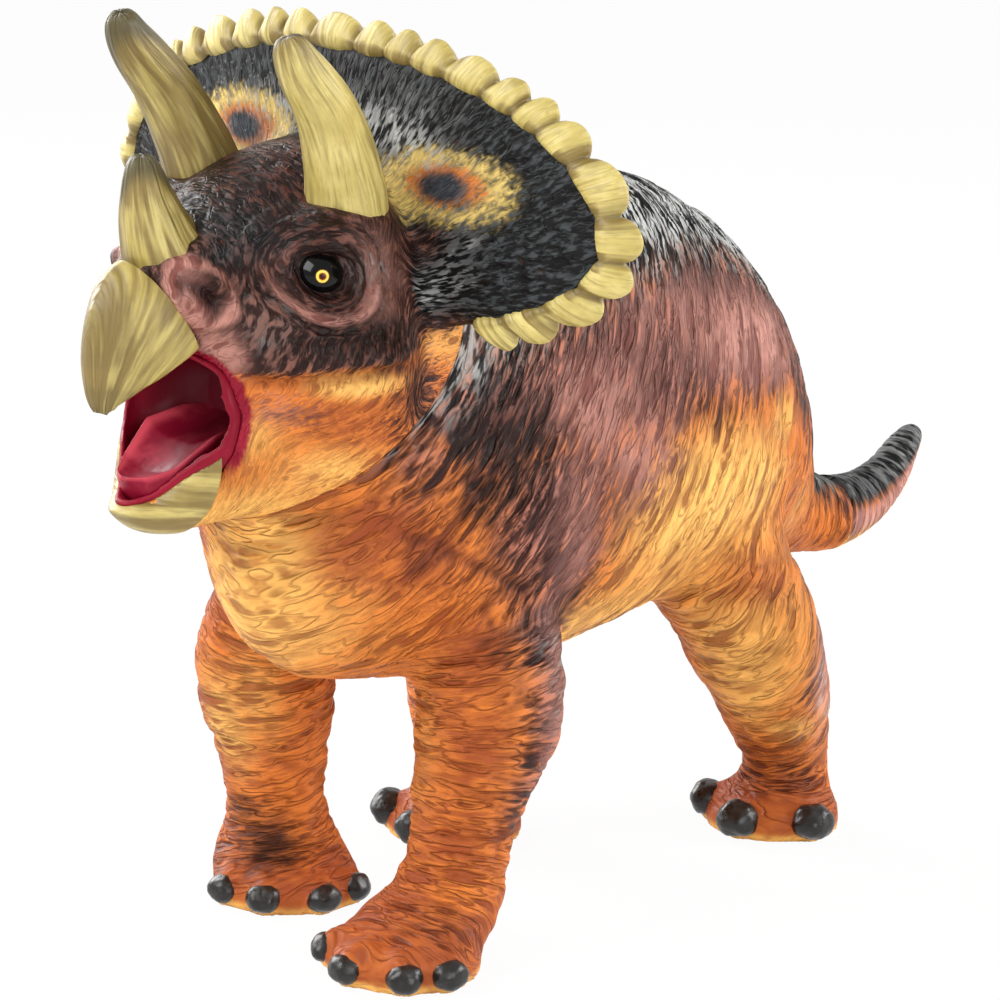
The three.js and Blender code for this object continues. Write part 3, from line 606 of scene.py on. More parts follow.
class Nodes:
    """Short ways to add and link shader nodes in one tree."""

    def __init__(self, tree: bpy.types.NodeTree) -> None:
        """Holds the tree."""
        self.tree = tree

    def add(self, kind: str, **values: object) -> bpy.types.Node:
        """Adds a node and sets its own properties."""
        node = self.tree.nodes.new(kind)
        for name, value in values.items():
            setattr(node, name, value)
        return node

    def link(self, source: object, target: Socket) -> None:
        """Links an output to an input, or sets the input where the source is a number or a colour."""
        if isinstance(source, bpy.types.NodeSocket):
            self.tree.links.new(source, target)
        else:
            target.default_value = source

    def math(self, how: str, a: object, b: object = 0.0, clamp: bool = False) -> Socket:
        """One step of arithmetic."""
        node = self.add("ShaderNodeMath", operation=how, use_clamp=clamp)
        self.link(a, node.inputs[0])
        self.link(b, node.inputs[1])
        return node.outputs[0]

    def plus(self, a: object, b: object, clamp: bool = False) -> Socket:
        """A sum."""
        return self.math("ADD", a, b, clamp)

    def minus(self, a: object, b: object, clamp: bool = False) -> Socket:
        """A difference."""
        return self.math("SUBTRACT", a, b, clamp)

    def times(self, a: object, b: object) -> Socket:
        """A product."""
        return self.math("MULTIPLY", a, b)

    def most(self, a: object, b: object) -> Socket:
        """The larger of two values."""
        return self.math("MAXIMUM", a, b)

    def blend(self, share: object, a: object, b: object) -> Socket:
        """Two values blended by a share."""
        return self.plus(a, self.times(share, self.minus(b, a)))

    def scaled(self, place: Socket, factor: object) -> Socket:
        """A vector times a number."""
        node = self.add("ShaderNodeVectorMath", operation="SCALE")
        self.link(place, node.inputs[0])
        self.link(factor, node.inputs["Scale"])
        return node.outputs[0]

    def remap(self, value: object, low: float, high: float, to_low: float = 0.0, to_high: float = 1.0) -> Socket:
        """A value carried smoothly from one range to another."""
        node = self.add("ShaderNodeMapRange", interpolation_type="SMOOTHSTEP")
        self.link(value, node.inputs["Value"])
        for name, number in (("From Min", low), ("From Max", high), ("To Min", to_low), ("To Max", to_high)):
            node.inputs[name].default_value = number
        return node.outputs["Result"]

    def mix(self, share: object, a: object, b: object) -> Socket:
        """Two colours mixed by a share."""
        node = self.add("ShaderNodeMix", data_type="RGBA", clamp_factor=True)
        self.link(share, node.inputs["Factor"])
        for name, source in (("A", a), ("B", b)):
            self.link(source, next(socket for socket in node.inputs if (socket.name, socket.type) == (name, "RGBA")))
        return next(socket for socket in node.outputs if socket.type == "RGBA")

    def place(self) -> Socket:
        """The object's own coordinates."""
        return self.add("ShaderNodeTexCoord").outputs["Object"]

    def noise(self, place: Socket, scale: object, detail: float = 2.0, rough: float = 0.5) -> Socket:
        """Blender's own noise at a place.

        Args:
            place: Where it is worked out.
            scale: Cells to the metre.
            detail: How many finer layers it has.
            rough: How strong those are.

        Returns:
            The value, round one half.
        """
        node = self.add("ShaderNodeTexNoise")
        self.link(place, node.inputs["Vector"])
        self.link(scale, node.inputs["Scale"])
        node.inputs["Detail"].default_value = detail
        node.inputs["Roughness"].default_value = rough
        return node.outputs["Fac"]

    def mark(self, name: str) -> Socket:
        """A value painted on the surface."""
        return self.add("ShaderNodeAttribute", attribute_name=name).outputs["Fac"]

    def group(self, tree: bpy.types.NodeTree, **values: object) -> dict[str, Socket]:
        """Places a node group with its own values, and gives its outputs by name."""
        node = self.add("ShaderNodeGroup", node_tree=tree)
        for name, value in values.items():
            self.link(value, node.inputs[name])
        return {socket.name: socket for socket in node.outputs}


class Finish:
    """A new material on the Principled shader."""

    def __init__(self, name: str) -> None:
        """Makes the material."""
        self.material = bpy.data.materials.new(name)
        self.material.use_nodes = True
        self.nodes = Nodes(self.material.node_tree)
        self.shader = self.material.node_tree.nodes["Principled BSDF"]

    def drive(self, name: str, source: Socket) -> None:
        """Links an output to an input of the shader."""
        self.nodes.link(source, self.shader.inputs[name])

    def put(self, **values: float) -> None:
        """Sets inputs of the shader, named with _ for each space."""
        for name, value in values.items():
            self.shader.inputs[name.replace("_", " ")].default_value = value

    def relief(self, height: Socket, strength: float = 1.0) -> None:
        """Bumps the surface by a height in metres."""
        node = self.nodes.add("ShaderNodeBump")
        node.inputs["Strength"].default_value = strength
        node.inputs["Distance"].default_value = 1.0
        self.nodes.link(height, node.inputs["Height"])
        self.drive("Normal", node.outputs["Normal"])


def colour(red: int, green: int, blue: int) -> Colour:
    """A colour written as on a screen, made linear."""
    parts = [value / 255.0 for value in (red, green, blue)]
    linear = [part / 12.92 if part <= 0.04045 else ((part + 0.055) / 1.055) ** 2.4 for part in parts]
    return (*linear, 1.0)


class Effects:
    """Node groups that several finishes share."""

    def __init__(self) -> None:
        """Builds the groups once."""
        self.folds = self._folds()
        self.pits = self._pits()

    @staticmethod
    def _group(name: str, inputs: list[str], outputs: list[str]) -> tuple[Nodes, bpy.types.Node, bpy.types.Node]:
        """An empty group with named sockets, and its own ends.

        Args:
            name: The group's name.
            inputs: Names of its inputs.
            outputs: Names of its outputs.

        Returns:
            Its tree, its input node and its output node.
        """
        tree = bpy.data.node_groups.new(name, "ShaderNodeTree")
        for way, labels in (("INPUT", inputs), ("OUTPUT", outputs)):
            for label in labels:
                tree.interface.new_socket(name=label, in_out=way, socket_type="NodeSocketFloat")
        nodes = Nodes(tree)
        return nodes, nodes.add("NodeGroupInput"), nodes.add("NodeGroupOutput")

    def _folds(self) -> bpy.types.NodeTree:
        """Folds that follow a painted distance: noise that runs fast across them and slowly along them.

        Its fourth coordinate is the distance across the folds over their spacing, and its place in space is
        divided by their length. Where it is low lies a short crease, and where it crosses its mean a thread.

        Returns:
            The group.
        """
        nodes, given, result = self._group("skin folds", ["Across", "Spacing", "Length"], ["Lines", "Creases"])
        noise = nodes.add("ShaderNodeTexNoise", noise_dimensions="4D")
        slow = nodes.math("DIVIDE", 1.0, given.outputs["Length"])
        nodes.link(nodes.scaled(nodes.place(), slow), noise.inputs["Vector"])
        nodes.link(nodes.math("DIVIDE", given.outputs["Across"], given.outputs["Spacing"]), noise.inputs["W"])
        for name, number in (("Scale", 1.0), ("Detail", 1.5), ("Roughness", 0.55)):
            noise.inputs[name].default_value = number
        value = noise.outputs["Fac"]
        contrast = 3.4
        nodes.link(nodes.plus(nodes.times(nodes.minus(value, 0.5), contrast), 0.5, clamp=True),
                   result.inputs["Lines"])
        thread = nodes.remap(nodes.math("ABSOLUTE", nodes.minus(value, 0.5)), 0.03, 0.0)
        dash = nodes.remap(value, 0.45, 0.36)
        nodes.link(nodes.most(dash, nodes.times(thread, 0.6)), result.inputs["Creases"])
        return nodes.tree

    def _pits(self) -> bpy.types.NodeTree:
        """Small scattered pits: the middles of round cells, where a second noise lets them be.

        Returns:
            The group.
        """
        nodes, given, result = self._group("casting pits", ["Spacing"], ["Pits"])
        here = nodes.place()
        fineness = nodes.math("DIVIDE", 1.0, given.outputs["Spacing"])
        cells = nodes.add("ShaderNodeTexVoronoi")
        nodes.link(here, cells.inputs["Vector"])
        nodes.link(fineness, cells.inputs["Scale"])
        near = nodes.remap(cells.outputs["Distance"], 0.22, 0.08)
        some = nodes.remap(nodes.noise(here, nodes.times(fineness, 0.45)), 0.54, 0.62)
        nodes.link(nodes.times(near, some), result.inputs["Pits"])
        return nodes.tree


@dataclass(frozen=True)
class PaintedVinyl:
    """Airbrushed skin: orange ground, with yellow, ember, plum, rose and charcoal sprayed over it."""

    name: str
    fold_spacing: float = 0.0025
    fold_length: float = 0.012
    hair_spacing: float = 0.0010
    hair_length: float = 0.0055
    fold_height: float = 0.0011
    hair_height: float = 0.0004
    roughness: float = 0.52
    plum: Colour = colour(76, 38, 30)
    # The lighter plum shows on the fold ridges, as painted highlight.
    plum_light: Colour = colour(168, 110, 96)
    pit_spacing: float = 0.0046
    pit_depth: float = 0.00025
    cloud_scale: float = 70.0
    shine: float = 0.17

    def _streaks(self, nodes: Nodes, effects: Effects, spacing: float, length: float) -> list[Socket]:
        """Lines and creases of one size: the skin's own, and the limb's where those take over."""
        own, limb = (nodes.group(effects.folds, Across=nodes.mark(mark), Spacing=spacing, Length=length)
                     for mark in ("across", "across_limb"))
        share = nodes.remap(nodes.mark("limb"), 0.3, 0.7)
        return [nodes.blend(share, own[name], limb[name]) for name in ("Lines", "Creases")]

    def _paint(self, nodes: Nodes, fold: Socket, line: Socket, groove: Socket, cloud: Socket, pits: Socket) -> Socket:
        """The sprayed coats over each other, from the orange ground up, with painted highlight and shade on the folds.

        Args:
            nodes: The material's tree.
            fold: The broad folds' lines.
            line: The fine folds' lines.
            groove: Where creases of either size lie, which the colours darken as painted shade.
            cloud: Soft noise.
            pits: Where casting pits lie.

        Returns:
            The colour.
        """
        def covered(mark: str, ragged: float, share: float = 1.0) -> Socket:
            """A sprayed mark whose edge breaks up along the folds and in clouds, and which is nothing at 0.

            Args:
                mark: The mark's name.
                ragged: How far its edge breaks up.
                share: How far it covers at most.

            Returns:
                The share that it covers.
            """
            wander = nodes.plus(nodes.times(nodes.minus(0.5, line), ragged * 0.6),
                                nodes.times(nodes.minus(cloud, 0.5), ragged * 1.3))
            edge = nodes.times(nodes.minus(groove, 0.2), ragged * 0.7)
            coat = nodes.mark(mark)
            allowed = nodes.remap(coat, 0.02, 0.3)
            total = nodes.plus(coat, nodes.times(allowed, nodes.plus(wander, edge)))
            return nodes.remap(total, 0.05, 0.9, 0.0, share)

        ground = nodes.mix(covered("yellow", 0.3), colour(216, 122, 50), colour(252, 194, 104))
        # Fold ridges lighter, creases and hollows darker: painted highlight and shade over the paint's dark wash.
        ground = nodes.mix(nodes.remap(line, 0.5, 0.1, 0.0, 0.3), ground, colour(196, 104, 40))
        ground = nodes.mix(nodes.times(groove, 0.8), ground, colour(128, 56, 22))
        ground = nodes.mix(covered("ember", 0.4, 0.85), ground, colour(150, 70, 36))
        plum = nodes.mix(nodes.remap(line, 0.3, 0.85), self.plum, self.plum_light)
        plum = nodes.mix(nodes.remap(fold, 0.5, 0.2, 0.0, 0.4), plum, colour(74, 38, 30))
        plum = nodes.mix(groove, plum, colour(40, 20, 18))
        rose = nodes.mix(nodes.times(groove, 0.85), colour(202, 144, 130), colour(112, 58, 50))
        murk = nodes.mix(nodes.remap(line, 0.5, 0.95), colour(28, 13, 9), colour(72, 40, 32))
        char = nodes.mix(nodes.remap(line, 0.4, 1.0), colour(20, 20, 21), colour(60, 64, 66))
        char = nodes.mix(groove, char, colour(10, 10, 11))
        lip = nodes.mix(nodes.remap(cloud, 0.4, 0.7), colour(128, 14, 36), colour(160, 34, 54))
        coats = [
            (covered("plum", 0.42), plum), (covered("rose", 0.5, 0.9), rose), (covered("murk", 0.4, 0.9), murk),
            (covered("char", 0.3), char),
            # Pale dry brush on the ridges, also standing for painted highlight and sheen.
            (nodes.times(nodes.remap(line, 0.3, 0.8), covered("drybrush_and_sheen", 0.3, 0.75)), colour(228, 228, 224)),
            (covered("spot_ring", 0.45), colour(222, 192, 112)), (covered("spot_core", 0.5), colour(204, 118, 54)),
            # Painted shade in marked hollows such as the nostrils, and in the casting pits.
            (covered("spot_eye", 0.4), colour(48, 52, 60)), (nodes.mark("cavity_shade"), colour(40, 18, 15)),
            (nodes.times(pits, 0.4), colour(80, 38, 22)), (nodes.mark("lip"), lip)]
        skin = ground
        for share, paint in coats:
            skin = nodes.mix(share, skin, paint)
        return skin

    def material(self, effects: Effects) -> bpy.types.Material:
        """Builds the material.

        Args:
            effects: The shared groups.

        Returns:
            The material.
        """
        made = Finish(self.name)
        nodes = made.nodes
        fold, crease = self._streaks(nodes, effects, self.fold_spacing, self.fold_length)
        line, scratch = self._streaks(nodes, effects, self.hair_spacing, self.hair_length)
        pits = nodes.group(effects.pits, Spacing=self.pit_spacing)["Pits"]
        cloud = nodes.noise(nodes.place(), self.cloud_scale, 3.0, 0.6)
        calm = nodes.minus(1.0, nodes.mark("calm"), clamp=True)
        groove = nodes.times(nodes.most(crease, nodes.times(scratch, 0.45)), calm)
        # Deeper creases and hollows marked on the mesh darken further: painted shade.
        groove = nodes.most(groove, nodes.mark("valley_shade"))
        made.drive("Base Color", self._paint(nodes, fold, line, groove, cloud, pits))
        rough = nodes.plus(nodes.times(line, 0.16), self.roughness - 0.08)
        made.drive("Roughness", nodes.blend(nodes.mark("lip"), rough, 0.22))
        height = nodes.minus(nodes.times(fold, self.fold_height * 0.5), nodes.times(crease, self.fold_height * 0.6))
        height = nodes.times(nodes.plus(height, nodes.times(line, self.hair_height)), calm)
        made.relief(nodes.minus(height, nodes.times(pits, self.pit_depth)))
        made.put(Specular_IOR_Level=self.shine)
        return made.material


@dataclass(frozen=True)
class HornVinyl:
    """Cream yellow horn with olive streaks along it and olive tips."""

    name: str
    spacing: float = 0.0022
    length: float = 0.016
    streak_height: float = 0.0005
    fine_height: float = 0.00012
    coat: float = 0.1

    def material(self, effects: Effects) -> bpy.types.Material:
        """Builds the material.

        Args:
            effects: The shared groups.

        Returns:
            The material.
        """
        made = Finish(self.name)
        nodes = made.nodes
        across, darker = nodes.mark("across"), nodes.mark("olive")
        streaks = nodes.group(effects.folds, Across=across, Spacing=self.spacing, Length=self.length)
        fine = nodes.group(effects.folds, Across=across, Spacing=self.spacing * 0.4, Length=self.length * 0.6)
        cloud = nodes.noise(nodes.place(), 110.0, 3.0, 0.6)
        olive = nodes.plus(darker, nodes.times(nodes.minus(cloud, 0.5), 0.9))
        # The olive deepens in the streaks' low lines: the horn's own streaks, deepened as painted shade in the relief's
        # grooves.
        olive = nodes.plus(olive, nodes.times(nodes.minus(0.45, streaks["Lines"]), 0.7))
        skin = nodes.mix(nodes.remap(cloud, 0.35, 0.7), colour(188, 168, 92), colour(216, 198, 122))
        skin = nodes.mix(nodes.remap(olive, 0.15, 0.95), skin, colour(128, 106, 50))
        # Fine creases darker: painted shade.
        skin = nodes.mix(nodes.times(fine["Creases"], 0.4), skin, colour(124, 106, 50))
        skin = nodes.mix(nodes.remap(darker, 0.85, 1.2), skin, colour(84, 74, 38))
        made.drive("Base Color", skin)
        made.drive("Roughness", nodes.plus(nodes.times(cloud, 0.2), 0.36))
        height = nodes.plus(nodes.times(streaks["Lines"], self.streak_height),
                            nodes.times(fine["Lines"], self.fine_height))
        made.relief(height, 0.9)
        made.put(Coat_Weight=self.coat, Coat_Roughness=0.25)
        return made.material


@dataclass(frozen=True)
class GlossPaint:
    """Brushed paint: a base colour with a lighter one brushed over it in soft clouds, with painted highlight and shade.
    """

    name: str
    base: Colour
    light: Colour
    deep: Colour
    roughness: float
    scale: float = 160.0
    coat: float = 0.04
    shine: float = 0.14
    dent_height: float = 0.0004
    pit_spacing: float = 0.0022
    pit_depth: float = 0.00012

    def material(self, effects: Effects) -> bpy.types.Material:
        """Builds the material, with painted highlight (light colour) on rims and painted shade (deep colour) in
        hollows.

        Args:
            effects: The shared groups.

        Returns:
            The material.
        """
        made = Finish(self.name)
        nodes = made.nodes
        cloud = nodes.noise(nodes.place(), self.scale, 3.0, 0.55)
        pits = nodes.group(effects.pits, Spacing=self.pit_spacing)["Pits"]
        skin = nodes.mix(nodes.remap(cloud, 0.45, 0.75, 0.0, 0.5), self.base, self.light)
        # Painted highlight on the marked rims, and painted shade in the marked hollows.
        skin = nodes.mix(nodes.mark("rim"), skin, self.light)
        made.drive("Base Color", nodes.mix(nodes.mark("cavity_shade"), skin, self.deep))
        made.drive("Roughness", nodes.remap(cloud, 0.3, 0.7, self.roughness * 0.7, self.roughness * 1.3))
        height = nodes.minus(nodes.times(cloud, self.dent_height), nodes.times(pits, self.pit_depth))
        made.relief(height, 0.5)
        made.put(Specular_IOR_Level=self.shine, Coat_Weight=self.coat, Coat_Roughness=0.16)
        return made.material


@dataclass(frozen=True)
class EyeGloss:
    """A wet black eye with a thin yellow iris ring round a dark red pupil, drawn by the mark gaze."""

    name: str
    stops: tuple[tuple[float, Colour], ...] = (
        (0.0, colour(52, 8, 4)), (0.30, colour(60, 12, 4)), (0.40, colour(150, 72, 12)),
        (0.50, colour(250, 206, 70)), (0.68, colour(252, 214, 96)), (0.76, colour(120, 74, 20)),
        (0.84, colour(8, 7, 6)), (1.0, colour(8, 7, 7)))

    def material(self) -> bpy.types.Material:
        """Builds the material.

        Returns:
            The material.
        """
        made = Finish(self.name)
        nodes = made.nodes
        here = nodes.place()
        wander = nodes.times(nodes.minus(nodes.noise(here, 900.0), 0.5), 0.09)
        ramp = nodes.add("ShaderNodeValToRGB")
        while len(ramp.color_ramp.elements) < len(self.stops):
            ramp.color_ramp.elements.new(0.5)
        for element, (at, shade) in zip(ramp.color_ramp.elements, self.stops):
            element.position, element.color = at, shade
        nodes.link(nodes.plus(nodes.mark("gaze"), wander), ramp.inputs["Fac"])
        made.drive("Base Color", ramp.outputs["Color"])
        made.drive("Roughness", nodes.remap(nodes.noise(here, 300.0), 0.3, 0.7, 0.1, 0.2))
        made.put(Specular_IOR_Level=0.18, Coat_Weight=0.15, Coat_Roughness=0.05)
        return made.material


# The figure's castings and fittings


@dataclass(frozen=True)
class Leg:
    """A leg: rings from the shoulder or hip to the sole, and the bearings of its claws."""

    name: str
    out: tuple[float, ...]
    along: tuple[float, ...]
    radii: tuple[float, ...]
    foot_radius: float
    claws: tuple[float, ...]


# Airbrushed spots of the body, on both sides alike: rows of x, y, z, three reaches (mm) and strength.
BODY_SPOTS: dict[str, Spots] = {
    "plum": [
        (42, 24, 92, 14, 19, 20, 0.95), (42, 30, 68, 11, 12, 18, 0.95), (44, 24, 50, 8, 9, 14, 0.8),
        (42, 20, 34, 7, 9, 12, 0.6), (44, 128, 46, 8, 10, 18, 0.75), (44, 124, 74, 9, 12, 16, 0.5),
        (30, -6, 108, 12, 12, 10, 0.7), (44, 60, 112, 10, 18, 8, 0.4), (30, 130, 14, 14, 12, 12, 0.35),
        (34, 0, 8, 12, 14, 8, 0.35), (46, 44, 100, 10, 18, 10, 0.6)],
    "murk": [
        (36, 15, 112, 15, 14, 14, 0.95), (30, -1, 88, 8, 9, 7, 0.45), (36, 12, 100, 8, 10, 8, 0.4),
        (36, 13, 67, 6, 7, 6, 0.5), (37, 99, 71, 8, 11, 5, 0.25), (43, 107, 61, 8, 9, 5, 0.3),
        (38, 122, 16, 8, 9, 3, 0.5), (32, -4, 6, 8, 10, 5, 0.3), (23, 16, 7, 10, 12, 5, 0.4),
        (27, 84, 136, 14, 22, 10, 0.5), (34, 116, 30, 10, 10, 3, 0.12)],
    "yellow": [
        (0, -16, 76, 22, 14, 20, 0.85), (0, -22, 88, 12, 8, 12, 0.95), (45, 70, 88, 16, 26, 18, 0.95),
        (28, 58, 62, 26, 34, 12, 0.95), (34, 104, 46, 14, 20, 22, 0.8), (34, 146, 62, 18, 22, 22, 0.7),
        (20, -2, 44, 9, 12, 16, 0.6), (30, 106, 28, 10, 10, 12, 0.8), (43, 96, 88, 12, 18, 14, 0.7)],
    "ember": [
        (31, -3, 87, 12, 10, 9, 0.8), (19, -15, 87, 7, 8, 7, 0.75), (34, 10, 66, 10, 9, 8, 0.95),
        (38, 8, 46, 8, 7, 7, 0.7), (24, -4, 12, 14, 16, 8, 0.7), (34, 6, 26, 9, 8, 7, 0.6),
        (34, 128, 10, 16, 16, 8, 0.6), (28, -12, 96, 8, 7, 6, 0.6), (40, 100, 66, 9, 14, 7, 0.7),
        (28, 10, 34, 14, 12, 14, 0.45), (29, 7, 56, 8, 8, 8, 0.5), (24, 18, 8, 12, 14, 9, 0.8)],
    # Pale dry brush, partly painted highlight.
    "drybrush_and_sheen": [(43, 26, 96, 9, 12, 16, 0.12), (44, 130, 40, 8, 10, 30, 0.5), (43, 30, 62, 7, 9, 20, 0.35)],
    "rose": [
        (44, 32, 76, 7, 9, 24, 0.55), (42, 36, 116, 12, 14, 12, 0.6), (44, 52, 102, 8, 12, 12, 0.5),
        (40, 96, 120, 12, 26, 10, 0.85), (46, 130, 46, 8, 8, 20, 0.75), (34, 70, 132, 14, 26, 9, 0.55),
        (45, 28, 44, 6, 8, 12, 0.6)],
}
BODY_SPOTS_ONE_SIDE: dict[str, Spots] = {
    "murk": [(-19, 8, 13, 9, 8, 7, 0.85), (-27, 8, 20, 6, 7, 4, 0.5)],
    "yellow": [
        (-29, 3, 38, 8, 7, 16, 0.9), (3, -22, 84, 10, 6, 9, 0.95), (-8, -19, 74, 8, 6, 8, 0.8),
        (42, 106, 101, 8, 10, 8, 0.7), (37, 122, 27, 8, 8, 5, 0.7)],
}
# The height of the middle of the back's dark stripe along the body, and the stripe's half width (mm).
CREST = {"y": (-5, 20, 40, 65, 94, 110, 126, 142, 158, 170, 182),
         "z": (140, 148, 153, 156, 154, 147, 135, 119, 98, 80, 71)}
STRIPE = {"y": (0, 60, 110, 150, 180), "half": (30, 31, 27, 18, 9)}
# Where along the body the plum of the flank starts upwards (mm).
FLANK = {"y": (-20, 10, 40, 70, 110, 140, 160, 182), "z": (116, 106, 106, 110, 112, 92, 78, 64)}


@dataclass
class Trunk:
    """The body casting: a ribbed torso with four legs, wrinkled and painted."""

    length: float = 182.0
    half_width: float = 46.0
    back: float = 156.0
    belly: float = 52.0
    leg_height: float = 84.0
    tail_radius: float = 9.2
    toe: tuple[float, float, float] = (4.8, 7.5, 5.4)
    toe_height: float = 3.6
    cell: float = 1.05
    ribs: tuple[tuple[float, ...], ...] = (
        (-0.132, 0.327, 0.198, 0.894, 0.74, 0.75),
        (-0.115, 0.173, 0.275, 0.942, 0.77, 0.75),
        (-0.044, 0.058, 0.352, 0.98, 0.86, 0.88),
        (0.082, 0.019, 0.429, 1.0, 0.95, 1.0),
        (0.286, 0.005, 0.516, 0.98, 1.0, 1.05),
        (0.478, 0.038, 0.604, 0.909, 0.95, 1.05),
        (0.626, 0.048, 0.692, 0.798, 0.82, 1.05),
        (0.747, 0.048, 0.78, 0.644, 0.61, 1.0),
        (0.846, 0.034, 0.868, 0.442, 0.4, 1.0),
        (0.918, 0.014, 0.929, 0.269, 0.265, 1.0),
    )
    ups: tuple[float, ...] = (1.1, 0.73, 0.61, 0.5, 0.385, 0.268, 0.169, 0.117, 0.052, 0.0)
    fore: tuple[float, ...] = (11.7, 15.7, 15.7, 14.9, 12.6, 11.0, 12.3, 14.3, 16.0, 16.0)
    hind: tuple[float, ...] = (15.8, 18.4, 17.5, 16.2, 14.0, 12.1, 10.0, 11.5, 15.4, 15.4)
    crease: tuple[tuple[float, float, float], ...] = (
        (6.0, -24.0, 95.0), (18.2, -18.4, 95.3), (25.8, -12.0, 94.3), (30.5, -1.6, 89.3), (34.6, 11.7, 82.6),
        (36.2, 21.0, 77.5))

    def legs(self) -> list[Leg]:
        """The four legs in mid stride.

        Returns:
            The legs: left and right in front, then left and right behind.
        """
        return [
            Leg("front_left", (0.36, 0.57, 0.61, 0.61, 0.6, 0.59, 0.58, 0.575, 0.58, 0.59),
                (0.165, 0.13, 0.12, 0.11, 0.092, 0.077, 0.063, 0.036, -0.01, -0.016), self.fore, 16.0,
                (-57, -8, 40, 74)),
            Leg("front_right", (-0.36, -0.57, -0.61, -0.61, -0.6, -0.59, -0.575, -0.55, -0.49, -0.48),
                (0.11, 0.088, 0.084, 0.088, 0.094, 0.1, 0.102, 0.1, 0.093, 0.092), self.fore, 16.0,
                (-17, 23, 70, 108)),
            Leg("hind_left", (0.38, 0.56, 0.61, 0.61, 0.61, 0.6, 0.6, 0.6, 0.59, 0.59),
                (0.555, 0.605, 0.635, 0.665, 0.695, 0.725, 0.745, 0.738, 0.725, 0.725), self.hind, 15.4,
                (-66, 2, 70)),
            Leg("hind_right", (-0.38, -0.56, -0.61, -0.6, -0.58, -0.55, -0.52, -0.51, -0.5, -0.5),
                (0.5, 0.485, 0.475, 0.463, 0.455, 0.45, 0.446, 0.435, 0.418, 0.418), self.hind, 15.4,
                (-60, 5, 70)),
        ]

    def leg_path(self, leg: Leg) -> Array:
        """Middles of a leg's rings, from the top down."""
        return np.stack([self.half_width * np.array(leg.out), self.length * np.array(leg.along),
                         self.leg_height * np.array(self.ups)], axis=1)

    def torso_ribs(self) -> list[Rib]:
        """The torso's ribs, with a round collar at each seam.

        Returns:
            The ribs, from neck to tail.
        """
        axis, side, top = JOINTS.seam_axes()
        neck, tail = np.array(JOINTS.neck), np.array(JOINTS.tail)
        ribs = [round_rib(neck - axis * depth, side, top, JOINTS.neck_radius) for depth in (0.0, 2.5)]
        height = self.back - self.belly
        for keel_along, keel_up, crest_along, crest_up, width, full in self.ribs:
            ribs.append(keeled_rib((self.length * keel_along, self.belly + height * keel_up),
                                   (self.length * crest_along, self.belly + height * crest_up),
                                   self.half_width * width, 0.45, (1.06, full)))
        return ribs + [round_rib(tail - np.array([0, depth, 0]), (1, 0, 0), (0, 0, 1), self.tail_radius)
                       for depth in (2.0, 0.0)]

    def union(self, head_forms: list[Patch]) -> Patch:
        """Torso, legs and toes as one skin with soft corners between them.

        The head's forms are joined on while the corners are softened, as in the clay that both castings come
        from, and everything ahead of the neck seam is then cut away.

        Args:
            head_forms: Skull and jaw in the figure's frame.

        Returns:
            The patch.
        """
        parts = [loft(self.torso_ribs(), 150, 150), *head_forms]
        for leg in self.legs():
            rings = [round_rib(middle, (1, 0, 0), (0, 1, 0), radius)
                     for middle, radius in zip(self.leg_path(leg), leg.radii)]
            parts.append(loft(rings, 90, 64))
            foot = self.leg_path(leg)[-1]
            for bearing in leg.claws:
                angle = math.radians(bearing)
                reach = leg.foot_radius - 0.62 * self.toe[1]
                spot = (foot[0] + math.sin(angle) * reach, foot[1] - math.cos(angle) * reach, self.toe_height)
                parts.append(egg(self.toe, spot, bearing))
        skin = Blender.remeshed(parts, self.cell)
        x, y, z = skin.points.T
        from_neck = np.linalg.norm(skin.points - np.array(JOINTS.neck), axis=1)
        near_seam = bump(seam_depth(skin.points), 0.0, 9.0) * ease(56, 46, from_neck)
        shoulder = bump(z, 66, 26) * ease(15, 40, np.abs(x))
        share = 0.10 + 0.4 * np.clip(shoulder + 0.3 * ease(12, 30, z), 0, 1)
        share = np.maximum(share * ease(0.5, 3.0, z), 0.5 * near_seam) + 0.04
        share = np.where(y > 176, 0.03, share)
        skin = smoothed(skin, 40, share)
        return Blender.cut(skin, half_space(-JOINTS.seam_gap, 1.0))

    def across(self, points: Array) -> tuple[Array, Array, Array]:
        """Distances across the folds of the torso and of the legs, and how far the legs' folds take over.

        A torso fold follows the rib in whose plane a point lies, found between the last rib that it is behind
        and the next. A leg's folds are rings square to its path that rise towards the back.

        Args:
            points: Places in the figure's frame.

        Returns:
            Millimetres across the torso's folds, millimetres across the legs', and a share.
        """
        rows = smooth_rows(np.array([rib.row() for rib in self.torso_ribs()]), 90)
        middle = rows[:, 0:3]
        back = np.cross(unit(rows[:, 6:9]), unit(rows[:, 3:6]))
        behind = points @ back.T - np.sum(middle * back, axis=1)
        last = np.clip(np.sum(behind > 0, axis=1), 1, len(rows) - 1)
        row = np.arange(len(points))
        before, after = behind[row, last - 1], behind[row, last]
        along = np.concatenate([[0.0], np.cumsum(np.linalg.norm(np.diff(middle, axis=0), axis=1))])
        share = np.clip(before / np.where(before - after > 0.01, before - after, 1.0), -4.0, 5.0)
        torso = along[last - 1] + share * (along[last] - along[last - 1])
        z = points[:, 2]
        limb, taken = z.copy(), np.zeros(len(points))
        for leg in self.legs():
            path = self.leg_path(leg)[::-1]
            slope = unit(np.gradient(path, axis=0))
            radius = np.interp(z, path[:, 2], np.array(leg.radii)[::-1])
            off = points[:, :2] - np.stack([np.interp(z, path[:, 2], path[:, k]) for k in range(2)], axis=1)
            lean = np.stack([np.interp(z, path[:, 2], slope[:, k]) for k in range(2)], axis=1)
            here = ease(84, 56, z) * ease(1.9, 1.15, np.linalg.norm(off, axis=1) / radius)
            rise = (0.12 if leg.name.startswith("front") else 0.3) + 0.25 * ease(35, 70, z)
            limb = np.where(here > taken, z + np.sum(off * lean, axis=1) - rise * off[:, 1], limb)
            taken = np.maximum(here, taken)
        return torso, limb, taken

